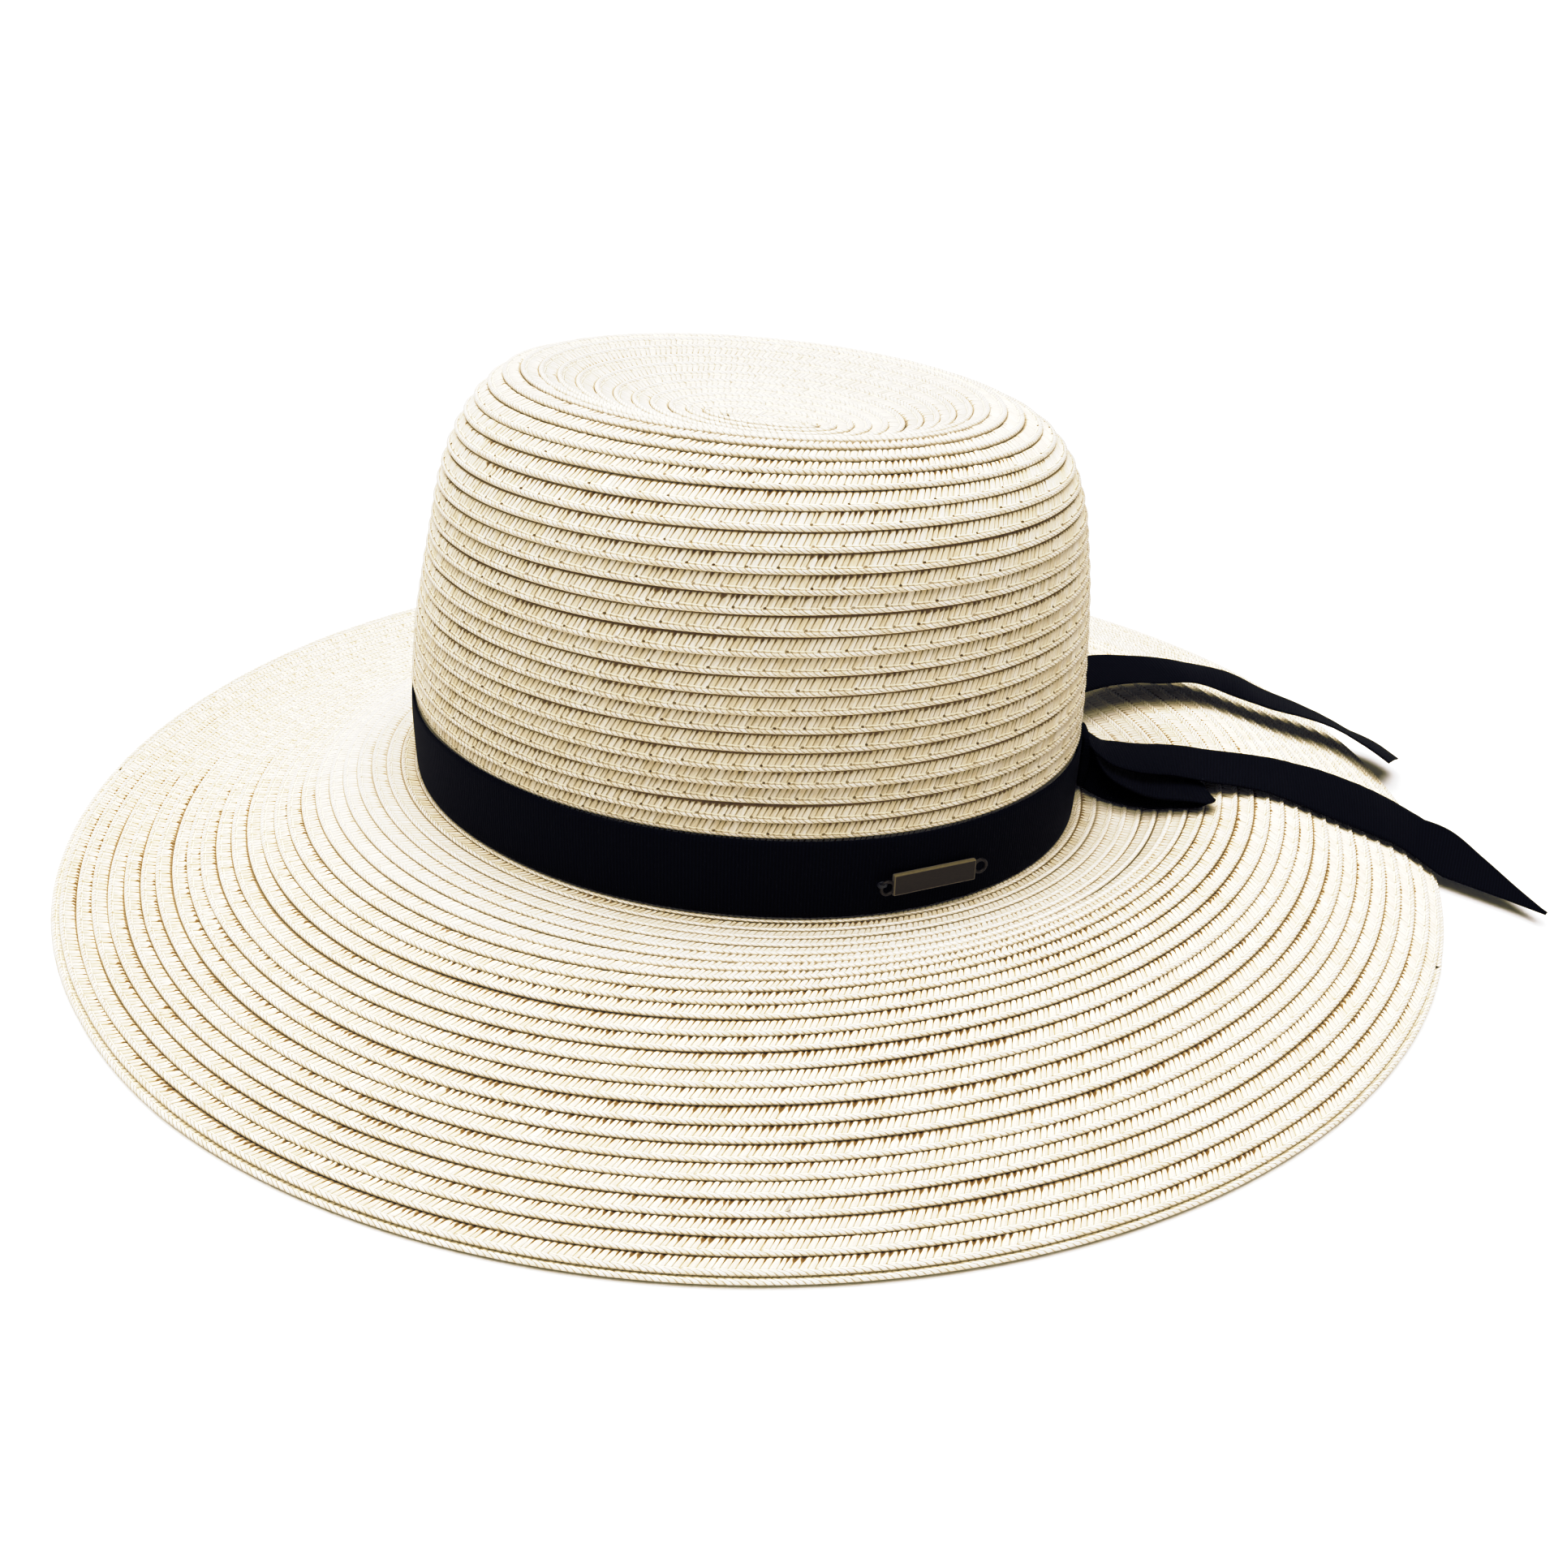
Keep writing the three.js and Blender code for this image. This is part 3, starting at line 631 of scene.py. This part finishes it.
def ribbon_material(ribbon):
    """Grosgrain: tightly woven polyester with a rib across it at every pick. It is matt black,
    and the ribs catch a little light along their tops."""
    material, add, shader = new_material("grosgrain_ribbon")
    lay = add("UVMap", uv_map="lay")
    waves = []
    for way, pitch in (("X", ribbon.rib_pitch), ("Y", WARP_PITCH)):
        turn = add("SeparateXYZ", (lay,), way)
        turn = add("Math", (turn, math.tau / pitch), operation="MULTIPLY")
        wave = add("Math", (turn,), operation="SINE")
        waves.append(add("Math", (wave, 0.5, 0.5), operation="MULTIPLY_ADD"))
    rib, warp = waves
    fuzz = add("TexNoise", {"Vector": lay, "Scale": YARN_FUZZ, "Detail": 2}, "Fac")
    # painted highlight: the tops of the ribs are coloured lighter, as where they catch light
    tops = add("Math", (rib, 2.0), operation="POWER")
    tops = add("Math", (tops, fuzz), operation="MULTIPLY")
    colours = {0: tops, 6: tuple(ribbon.colour), 7: tuple(ribbon.rib_highlight)}
    height = add("Math", (warp, 0.25, rib), operation="MULTIPLY_ADD")
    fill_sockets(shader, {
        "Base Color": add("Mix", colours, 2, data_type="RGBA"),
        "Normal": add("Bump", {"Height": height, "Distance": 0.00012, "Strength": 0.6}),
        "Roughness": 0.8,
        "Specular IOR Level": 0.03,
    })
    return material


def gunmetal_material(plate, rubbed_highlit=False):
    """Zinc alloy with dark gunmetal plating, brushed along the bar. On the bevels and sides it is a
    paler, rougher metal, like rubbed plating: a painted highlight for the bright top edge."""
    material, add, shader = new_material("gunmetal_rubbed" if rubbed_highlit else "gunmetal_plated_zinc")
    plating = tuple(plate.rubbed_highlit if rubbed_highlit else plate.colour)
    dark = tuple(0.7 * c for c in plating[:3]) + (1,)
    place = add("TexCoord", output="Object")
    brushed = add("Mapping", {"Vector": place, "Scale": (1, 1, 14)})
    grain = add("TexNoise", {"Vector": brushed, "Scale": BRUSHING, "Detail": 3}, "Fac")
    least, most = (0.65, 0.85) if rubbed_highlit else (0.32, 0.5)
    fill_sockets(shader, {
        "Base Color": add("Mix", {0: grain, 6: plating, 7: dark}, 2, data_type="RGBA"),
        "Normal": add("Bump", {"Height": grain, "Distance": 0.00002, "Strength": 0.4}),
        "Roughness": add("MapRange", (grain, 0.3, 0.7, least, most)),
        "Metallic": 0.75 if rubbed_highlit else 1.0,
    })
    return material


def thread_material():
    """Black polyester sewing thread, two plies twisted, with a slight shine."""
    material, add, shader = new_material("polyester_thread")
    place = add("TexCoord", output="Object")
    ply = add("TexWave", {"Vector": place, "Scale": PLIES, "Distortion": 1.5}, "Fac")
    colours = {0: ply, 6: hex_colour("#060607"), 7: hex_colour("#101115")}
    base = add("Mix", colours, 2, data_type="RGBA")
    fill_sockets(shader, {"Base Color": base, "Roughness": 0.5})
    return material


def floor_material(stage):
    """Matt white paper sweep, with a hardly visible mottle."""
    material, add, shader = new_material("paper_sweep")
    place = add("TexCoord", output="Object")
    mottle = add("TexNoise", {"Vector": place, "Scale": MOTTLE, "Detail": 2}, "Fac")
    dim = tuple(0.985 * c for c in stage.floor[:3]) + (1,)
    base = add("Mix", {0: mottle, 6: tuple(stage.floor), 7: dim}, 2, data_type="RGBA")
    fill_sockets(shader, {"Base Color": base, "Roughness": 0.9, "Specular IOR Level": 0.1})
    return material


# ---------------------------------------------------------------- braid


def draw_strands(lines, rng):
    """What changes from strand to strand, as a column over the lines of a braid: how far the
    strand strays along the row and up from it, how open the gap beside it is, its tone, and
    the slow waver of the whole row."""
    strands, every_line = lines // 2, np.arange(lines)
    wander = rng.normal(0, STRAND_WANDER, strands).repeat(2)
    rise = rng.normal(0, STRAND_RISE, strands).repeat(2)
    knots = np.arange(0, lines + LOOSE_RUN, LOOSE_RUN)
    loose = smooth_step(np.interp(every_line, knots, rng.uniform(-0.5, 1.3, len(knots))))
    open_gap = (rng.random(strands) ** 1.5).repeat(2) * loose
    tone = rng.random(strands).repeat(2)
    knots = np.arange(0, lines + WAVER_RUN, WAVER_RUN)
    waver = np.interp(every_line, knots, rng.normal(0, 1, len(knots)))
    return [column[:, None] for column in (wander, rise, open_gap, tone, waver)]


def how_worked_and_shaded(sections, arc):
    """How loosely the braid is plaited along a wall, 0 to 1, and how much its stitches show.

    The first also sets the painted shade in the braid's gaps and grooves, and where it is low
    the straw is painted paler, which is painted light. The crown is open up its side and closer
    over the shoulder, so its top is painted paler. The brim's rows start closed and painted pale
    near the crown and open up on the way out, apart from the first one, which shows its strands
    and gets more painted shade beside the band. The holes are painted fainter on the crown's top
    and on the brim, which is painted light."""
    if sections is CROWN_SECTIONS:
        shoulder = smooth_step((arc - 84) / 45)
        return 1 - 0.55 * shoulder, np.where(arc < 118, 1.0, 0.2)
    outwards, first_row = smooth_step((arc - 12) / 36), smooth_step((6 - arc) / 3)
    return 0.3 + 0.4 * outwards + 0.55 * first_row, np.full(arc.shape, 0.35)


def flattened(sections, arc, lift):
    """The braid's relief, pressed in under the hat band, and lower on the brim near the crown."""
    if sections is CROWN_SECTIONS:
        start, end = BAND_ZONE
        pressed = smooth_step((arc - start + 2) / 2) * smooth_step((end + 1.5 - arc) / 2.5)
        lowest = BRAID_PROFILE[-1].crest  # nothing this low is pressed in further
        return lift - BAND_PRESS * pressed * (lift > lowest)
    return lift * (0.55 + 0.45 * smooth_step((arc - 4) / 30))


def lay_braid(name, sections, route, pitch, straw, replaced, rng, drop=0.0):
    """Braid along a route on a wall, cut into pieces of a size that stays easy to handle.

    route gives, at each turn count, the arcs of the row's hidden edge and of its nose. Every
    strand is two lines across the strip, its crest and the gap beside it. drop is how far the
    braid is lowered, in mm."""
    strand = straw.strand_pitch / MM
    counts, hidden, nose = route
    walk = walk_along(wall_point(sections, (hidden + nose) / 2, math.tau * counts))
    lines = int(walk[-1] / (strand / 2)) // 2 * 2
    line = np.arange(lines)[:, None]
    wander, rise, open_gap, tone, waver = draw_strands(lines, rng)

    # every point's place along the strip, its turn count and its arc on the wall
    across, crest, gap, slant = np.array(BRAID_PROFILE + BRAID_PROFILE[:1]).T
    place = line * strand / 2 + slant + wander * np.where(across < 0.7, 1, 0.4)
    count = np.interp(place, walk, counts)
    row_hidden, row_nose = np.interp(count, counts, hidden), np.interp(count, counts, nose)
    width = row_nose - row_hidden
    arc = row_hidden + across * width + np.sign(width) * waver * ROW_WAVER

    # its height over the wall; the gaps are shallower where the braid is closely plaited
    worked_and_shade, sewn = how_worked_and_shaded(sections, arc)
    top = (across > 0) & (across < 0.5)
    depth = (gap - crest - open_gap * 0.35 * top) * np.clip(1.35 * worked_and_shade, 0.6, 1)
    lift = crest + np.where(line % 2 == 1, depth, rise * top) + waver * ROW_SWELL
    narrow = np.clip(np.abs(width) / pitch, 0.35, 1)
    lift = flattened(sections, arc, lift) * narrow - drop

    arc = np.clip(arc, sections[0].arc - 2, sections[-1].arc + 0.8)
    points = off_wall(sections, arc, math.tau * count, lift)
    uv = np.stack(np.broadcast_arrays(place * MM, across), -1)
    attributes = {
        "tone": tone,
        "strand": line / 2,
        "open_gap": open_gap,
        "sewn": sewn,
        "worked_and_shade": worked_and_shade,
    }
    attributes = {key: np.broadcast_to(values, lift.shape) for key, values in attributes.items()}
    material = shared_material("paper_straw_braid", straw_material, straw)
    for number, start in enumerate(range(0, lines - 1, LONGEST_PIECE)):
        part = slice(start, min(start + LONGEST_PIECE + 1, lines))
        own_name = f"{name}_{number + 1}" if lines > LONGEST_PIECE else name
        own = {key: values[part] for key, values in attributes.items()}
        mesh = grid_mesh(own_name, points[part], uv[part], own, tube=True)
        add_piece(own_name, mesh, material, replaced)


class HAT_OT_crown(bpy.types.Operator):
    """Lay the crown with braid, from its foot up the side and over the dished top"""

    bl_idname = "hat.crown"
    bl_label = "Crown"

    def execute(self, context):
        straw = context.scene.hat_straw
        pitch = straw.crown_pitch / MM
        # from just under the crown's foot, where the first turn widens, to the seam on top
        foot, middle = -1.03, CROWN_SECTIONS[-1].arc
        counts = np.linspace(-0.9, (middle - foot) / pitch - 0.25, ROUTE_POINTS)
        nose = foot + pitch * counts
        hidden = np.clip(nose + pitch, foot + 0.5, middle + 0.7)
        route = counts, hidden, np.maximum(nose, foot)
        rng = np.random.default_rng(SEED)
        lay_braid("crown_braid", CROWN_SECTIONS, route, pitch, straw, ["crown"], rng)
        return {"FINISHED"}


class HAT_OT_brim(bpy.types.Operator):
    """Lay the brim with braid, from under the crown out to its doubled edge"""

    bl_idname = "hat.brim"
    bl_label = "Brim"

    def execute(self, context):
        straw = context.scene.hat_straw
        pitch = straw.brim_pitch / MM
        # from under the crown, where the first turn widens, to the edge, where the last narrows
        first, last = -2.47, 105.7
        counts = np.linspace(-0.9, (last - first) / pitch - 0.25, ROUTE_POINTS)
        hidden = first + pitch * counts
        spiral = counts, np.maximum(hidden, first), np.minimum(hidden + pitch, last)
        # and once more round under the edge
        counts = np.linspace(0, 1.004, EDGE_ROUTE_POINTS)
        outer = BRIM_SECTIONS[-1].arc - 0.2
        edge = counts, np.full_like(counts, outer - pitch), np.full_like(counts, outer)
        rng = np.random.default_rng(SEED + 1)
        for name, route, drop in (
            ("brim_braid", spiral, 0.0),
            ("brim_edge_braid", edge, EDGE_DROP),
        ):
            lay_braid(name, BRIM_SECTIONS, route, pitch, straw, ["brim"], rng, drop)
        return {"FINISHED"}


# ---------------------------------------------------------------- ribbon


def brim_height(x, y):
    """The height of the top of the brim over places on the table, in mm."""
    arcs = np.linspace(BRIM_SECTIONS[0].arc, BRIM_SECTIONS[-1].arc, 400)
    columns = section_at(BRIM_SECTIONS, arcs)
    long, wide, _, centre_x, centre_y, _, _ = columns
    dx, dy = x[..., None] - centre_x, y[..., None] - centre_y
    along = dx * math.cos(HEAD_TURN) + dy * math.sin(HEAD_TURN)
    across = -dx * math.sin(HEAD_TURN) + dy * math.cos(HEAD_TURN)
    inside = (along / long) ** 2 + (across / wide) ** 2 < 1
    ring = np.where(inside.any(-1), inside.argmax(-1), len(arcs) - 1)
    _, _, high, centre_x, centre_y, tip_x, tip_y = columns[:, ring]
    return high + tip_x * (x - centre_x) + tip_y * (y - centre_y)


def smooth_through(values, count):
    """Rows of numbers as a smooth run of more rows through them."""
    values = np.asarray(values, float)
    padded = np.vstack([2 * values[0] - values[1], values, 2 * values[-1] - values[-2]])
    u = np.linspace(0, len(values) - 1, count)
    k = np.minimum(u.astype(int), len(values) - 2)
    f = (u - k)[:, None]
    a, b, c, d = (padded[k + i] for i in range(4))
    bend, turn = 2 * a - 5 * b + 4 * c - d, 3 * b - a - 3 * c + d
    return 0.5 * (2 * b + (c - a) * f + bend * f**2 + turn * f**3)


def ribbon_grid(far, near, columns, bow):
    """Points over a ribbon between its two edges, their uv in metres, the ribbon's length and
    its width all along. bow lifts its middle."""
    share = np.linspace(0, 1, columns)
    points = far[:, None, :] + (near - far)[:, None, :] * share[None, :, None]
    middle = (far + near) / 2
    up = unit(np.cross(unit(near - far), unit(np.gradient(middle, axis=0))))
    bulge = bow[:, None] * np.sin(math.pi * share)[None, :]
    points = points + up[:, None, :] * bulge[..., None]
    run = walk_along(middle)
    width = np.linalg.norm(near - far, axis=1)
    across = (share[None, :] - 0.5) * width[:, None]
    return points, np.stack(np.broadcast_arrays(run[:, None], across), -1), run[-1], width


def laid_ribbon(name, places, samples, ribbon, material, replaced):
    """A ribbon that lies on the brim, from the table of its two edges."""
    rows = smooth_through([tuple(p) for p in places], samples)
    far_x, far_y, far_lift, near_x, near_y, near_lift = rows.T
    middle = ribbon.thickness / MM / 2 + RIBBON_CLEARANCE
    far, near = (
        np.stack([HAT_AXIS_X + x, y, brim_height(x, y) + lift + middle], -1) * MM
        for x, y, lift in ((far_x, far_y, far_lift), (near_x, near_y, near_lift))
    )
    arch = RIBBON_ARCH * MM * np.sin(np.linspace(0, 2.5 * math.pi, samples)) ** 2
    points, uv, length, width = ribbon_grid(far, near, RIBBON_COLUMNS, arch)
    piece = add_piece(name, grid_mesh(name, points, uv), material, replaced)
    thicken(piece, ribbon.thickness)
    return piece, length, width


class HAT_OT_band(bpy.types.Operator):
    """Stretch the ribbon band round the foot of the crown"""

    bl_idname = "hat.band"
    bl_label = "Hat band"

    def execute(self, context):
        ribbon = context.scene.hat_ribbon
        material = shared_material("grosgrain_ribbon", ribbon_material, ribbon)
        turn = np.linspace(0, math.tau, 361)[:, None]
        share = np.linspace(0, 1, RIBBON_COLUMNS)[None, :]
        rng = np.random.default_rng(SEED + 2)
        ripple = sum(
            rng.normal(0, 0.05) * np.sin(k * turn + rng.uniform(0, math.tau)) for k in range(3, 14)
        )
        lift = 0.85 - 0.2 * np.abs(2 * share - 1) ** 4 + ripple * (0.4 + 0.6 * share)
        arc = BAND_FOOT + ribbon.width / MM * share
        points = off_wall(CROWN_SECTIONS, arc, turn, lift)
        run = walk_along(points[:, RIBBON_COLUMNS // 2])[:, None]
        uv = np.stack(np.broadcast_arrays(run, (share - 0.5) * ribbon.width), -1)
        mesh = grid_mesh("hatband_ribbon", points, uv, ring=True)
        piece = add_piece("hatband_ribbon", mesh, material, ["hatband"])
        thicken(piece, ribbon.thickness)
        return {"FINISHED"}


class HAT_OT_bow(bpy.types.Operator):
    """Lay the bow: its flattened loop, its two loose tails and the knot that gathers them"""

    bl_idname = "hat.bow"
    bl_label = "Bow"

    def execute(self, context):
        ribbon = context.scene.hat_ribbon
        material = shared_material("grosgrain_ribbon", ribbon_material, ribbon)
        for node, places, samples, held in (
            ("bow_tail_near", TAIL_NEAR_PLACES, 97, "laid"),
            ("bow_tail_far", TAIL_FAR_PLACES, 97, "laid"),
            ("bow_loop", LOOP_PLACES, 81, "folded"),
        ):
            name = f"{node}_ribbon"
            piece, length, width = laid_ribbon(name, places, samples, ribbon, material, [node])
        self.knot(material)
        return {"FINISHED"}

    def knot(self, material):
        """The knot: a turn of ribbon round the bow, pulled into soft pleats."""

        def squared(value):
            """A sine or cosine, pushed out towards the corners of a square."""
            return np.sign(value) * np.abs(value) ** 0.42

        half_deep, half_wide, high = 1.6, 9.0, 15.5  # in mm
        up = np.linspace(0, 1, 25)[:, None]
        angle = np.linspace(0, math.tau, 65)[None, :]
        bulge = np.sqrt(np.sin(math.pi * (0.12 + 0.76 * up)))
        waist = 1 - 0.28 * np.sin(math.pi * up)
        pleats = 0.25 * np.sin(5 * math.pi * (0.5 + 0.5 * np.sin(angle))) * np.sin(math.pi * up)
        out = 0.5 + half_deep * (1 + squared(np.cos(angle)) * bulge) + pleats
        along = 0.5 + half_wide * waist * squared(np.sin(angle)) * bulge
        turn = -HEAD_TURN + along / CROWN_RADIUS_AT_BOW
        points = off_wall(CROWN_SECTIONS, 1.7 + high * up, turn, out + 1.0)
        uv = np.stack(np.broadcast_arrays(up * high * MM, (angle - math.pi) * 0.006), -1)
        mesh = grid_mesh("bow_knot_ribbon", points, uv, tube=True)
        add_piece("bow_knot_ribbon", mesh, material, ["bow_knot"])


# ---------------------------------------------------------------- metal plate


def plate_frame(plate):
    """Where the plate sits: its middle on the band, X along it, Y up and Z out."""
    arc, turn = np.array(PLATE_ARC), np.array(PLATE_TURN)
    place = wall_point(CROWN_SECTIONS, arc, turn)
    out = wall_normal(CROWN_SECTIONS, arc, turn)
    bend = (plate.length / MM) ** 2 / 8 / CROWN_SECTIONS[0].wide
    z = Vector(out)
    x = Vector((0, 0, 1)).cross(z).normalized()
    y = z.cross(x)
    stand = Matrix((x, y, z)).transposed().to_4x4()
    stand.translation = Vector((place + out * (PLATE_LIFT + bend * 0.1)) * MM)
    return stand @ Matrix.Rotation(PLATE_TIP, 4, "Z")


class HAT_OT_plate(bpy.types.Operator):
    """Make the metal plate, the ring at each of its ends and the thread that ties it down"""

    bl_idname = "hat.plate"
    bl_label = "Plate"

    def execute(self, context):
        plate = context.scene.hat_plate
        metal = gunmetal_material(plate)
        bm = bmesh.new()
        bmesh.ops.create_cube(bm, size=1)
        size = plate.length, plate.width, plate.thickness
        bmesh.ops.scale(bm, vec=size, verts=bm.verts)
        bmesh.ops.translate(bm, vec=(0, 0, plate.thickness / 2), verts=bm.verts)
        bmesh.ops.bevel(
            bm, geom=bm.edges[:], offset=plate.bevel, segments=2, affect="EDGES", profile=0.5,
            material=-1,
        )
        bm.normal_update()
        for face in bm.faces:
            # the bevels and sides take the second, paler material: a painted highlight for the
            # bright top edge
            face.material_index = int(face.normal.z < FLAT_FACE)
        for side in (-1, 1):
            off_middle = plate.length / 2 + plate.ring_radius - plate.ring_wire / 2
            centre = (side * off_middle, side * 0.0005, plate.thickness / 2)
            place = Matrix.Translation(centre)
            wire_loop(bm, plate.ring_radius, plate.ring_wire, place, around=12, steps=28)
        bar = self.plate_piece("tag_plate_bar", bm, plate, metal, "plate_metal")
        bar.data.materials.append(gunmetal_material(plate, rubbed_highlit=True))

        # three turns of thread over the far side of the first ring, each leaning its own way
        bm = bmesh.new()
        outer = plate.length / 2 + 2 * plate.ring_radius
        tie = (0.0004 - outer, 0.0007, plate.thickness / 2)
        for lean, reach in ((-14, 0.00095), (6, 0.0011), (24, 0.001)):
            place = Matrix.Translation(tie) @ Matrix.Rotation(math.radians(lean), 4, "Z")
            place = place @ Matrix.Rotation(math.pi / 2, 4, "X")
            wire_loop(bm, reach, THREAD_RADIUS, place, around=8, steps=20)
        self.plate_piece("tag_plate_thread", bm, plate, thread_material(), "ribbon")
        return {"FINISHED"}

    def plate_piece(self, name, bm, plate, material, slot):
        """A piece made where the plate is flat on the table, moved to its place on the band."""
        bmesh.ops.transform(bm, matrix=plate_frame(plate), verts=bm.verts)
        bmesh.ops.recalc_face_normals(bm, faces=bm.faces)
        return add_piece(name, mesh_from(name, bm), material, ["tag_plate"])


# ---------------------------------------------------------------- stage


class HAT_OT_stage(bpy.types.Operator):
    """Set up the floor, the soft light and the camera"""

    bl_idname = "hat.stage"
    bl_label = "Stage"

    def execute(self, context):
        stage = context.scene.hat_stage
        bm = bmesh.new()
        bmesh.ops.create_grid(bm, x_segments=4, y_segments=4, size=stage.floor_size / 2)
        mesh = mesh_from("floor", bm)
        mesh.materials.append(floor_material(stage))
        floor = bpy.data.objects.new("floor", mesh)
        context.scene.collection.objects.link(floor)

        world = bpy.data.worlds.new("soft_sky")
        context.scene.world = world
        world.use_nodes = True
        background = world.node_tree.nodes["Background"]
        background.inputs["Color"].default_value = tuple(stage.sky_colour)
        background.inputs["Strength"].default_value = stage.sky

        self.soft_light(context, stage)
        self.camera(context, stage)
        self.tone_curves(context)
        return {"FINISHED"}

    def tone_curves(self, context):
        """Bright studio tones: steep up to the light ones, then a soft shoulder to white, with
        shadows that turn a warm brown."""
        view = context.scene.view_settings
        view.view_transform = "Standard"
        view.look = "None"
        view.use_curve_mapping = True
        mapping = view.curve_mapping
        mapping.white_level = (WHITE_LEVEL,) * 3
        for number, curve in ((3, ALL_TONES), (1, GREEN_TONES), (2, BLUE_TONES)):
            for light, tone in curve:
                mapping.curves[number].points.new(light, tone)
        mapping.update()

    def soft_light(self, context, stage):
        """An evenly bright patch of ceiling, almost straight above the hat."""
        light = bpy.data.lights.new("key_light", "SUN")
        light.energy = stage.key
        light.angle = KEY_SPREAD
        lamp = bpy.data.objects.new("key_light", light)
        flat = math.cos(KEY_HEIGHT)
        way = Vector((math.cos(KEY_TURN) * flat, math.sin(KEY_TURN) * flat, math.sin(KEY_HEIGHT)))
        aim = way.to_track_quat("Z", "Y").to_matrix().to_4x4()
        lamp.matrix_world = Matrix.Translation(way) @ aim
        context.scene.collection.objects.link(lamp)

    def camera(self, context, stage):
        """The camera, 0.42 m in front of the hat's middle and 0.24 m above the table."""
        data = bpy.data.cameras.new("camera")
        data.lens = stage.lens
        data.sensor_width = 36.0
        data.clip_start = 0.01
        camera = bpy.data.objects.new("camera", data)
        camera.matrix_world = (
            Matrix.Translation(Vector(CAMERA_PLACE) * MM)
            @ Matrix.Rotation(CAMERA_YAW, 4, "Z")
            @ Matrix.Rotation(math.pi / 2 + CAMERA_PITCH, 4, "X")
            @ Matrix.Rotation(CAMERA_ROLL, 4, "Z")
        )
        context.scene.collection.objects.link(camera)
        context.scene.camera = camera


# ---------------------------------------------------------------- panel and main

SETTINGS = {
    "hat_straw": StrawSettings,
    "hat_ribbon": RibbonSettings,
    "hat_plate": PlateSettings,
    "hat_stage": StageSettings,
}
OPERATORS = [HAT_OT_crown, HAT_OT_brim, HAT_OT_band, HAT_OT_bow, HAT_OT_plate, HAT_OT_stage]


class HAT_PT_panel(bpy.types.Panel):
    """The hat's pieces and their settings"""

    bl_idname = "HAT_PT_panel"
    bl_label = "Straw Hat"
    bl_space_type = "VIEW_3D"
    bl_region_type = "UI"
    bl_category = "Straw Hat"

    def draw(self, context):
        for operator in OPERATORS:
            self.layout.operator(operator.bl_idname)
        for name, group in SETTINGS.items():
            box = self.layout.box()
            for key in group.__annotations__:
                box.prop(getattr(context.scene, name), key)


def register():
    """Register the settings, the operators and the panel."""
    for item in (*SETTINGS.values(), *OPERATORS, HAT_PT_panel):
        bpy.utils.register_class(item)
    for name, group in SETTINGS.items():
        setattr(bpy.types.Scene, name, bpy.props.PointerProperty(type=group))


def unregister():
    """Take it all out again."""
    for name in SETTINGS:
        delattr(bpy.types.Scene, name)
    for item in (HAT_PT_panel, *reversed(OPERATORS), *reversed(list(SETTINGS.values()))):
        bpy.utils.unregister_class(item)


def main():
    """Build the hat on its stage."""
    register()
    bpy.ops.hat.stage()
    bpy.ops.hat.crown()
    bpy.ops.hat.brim()
    bpy.ops.hat.band()
    bpy.ops.hat.bow()
    bpy.ops.hat.plate()


if __name__ == "__main__":
    main()
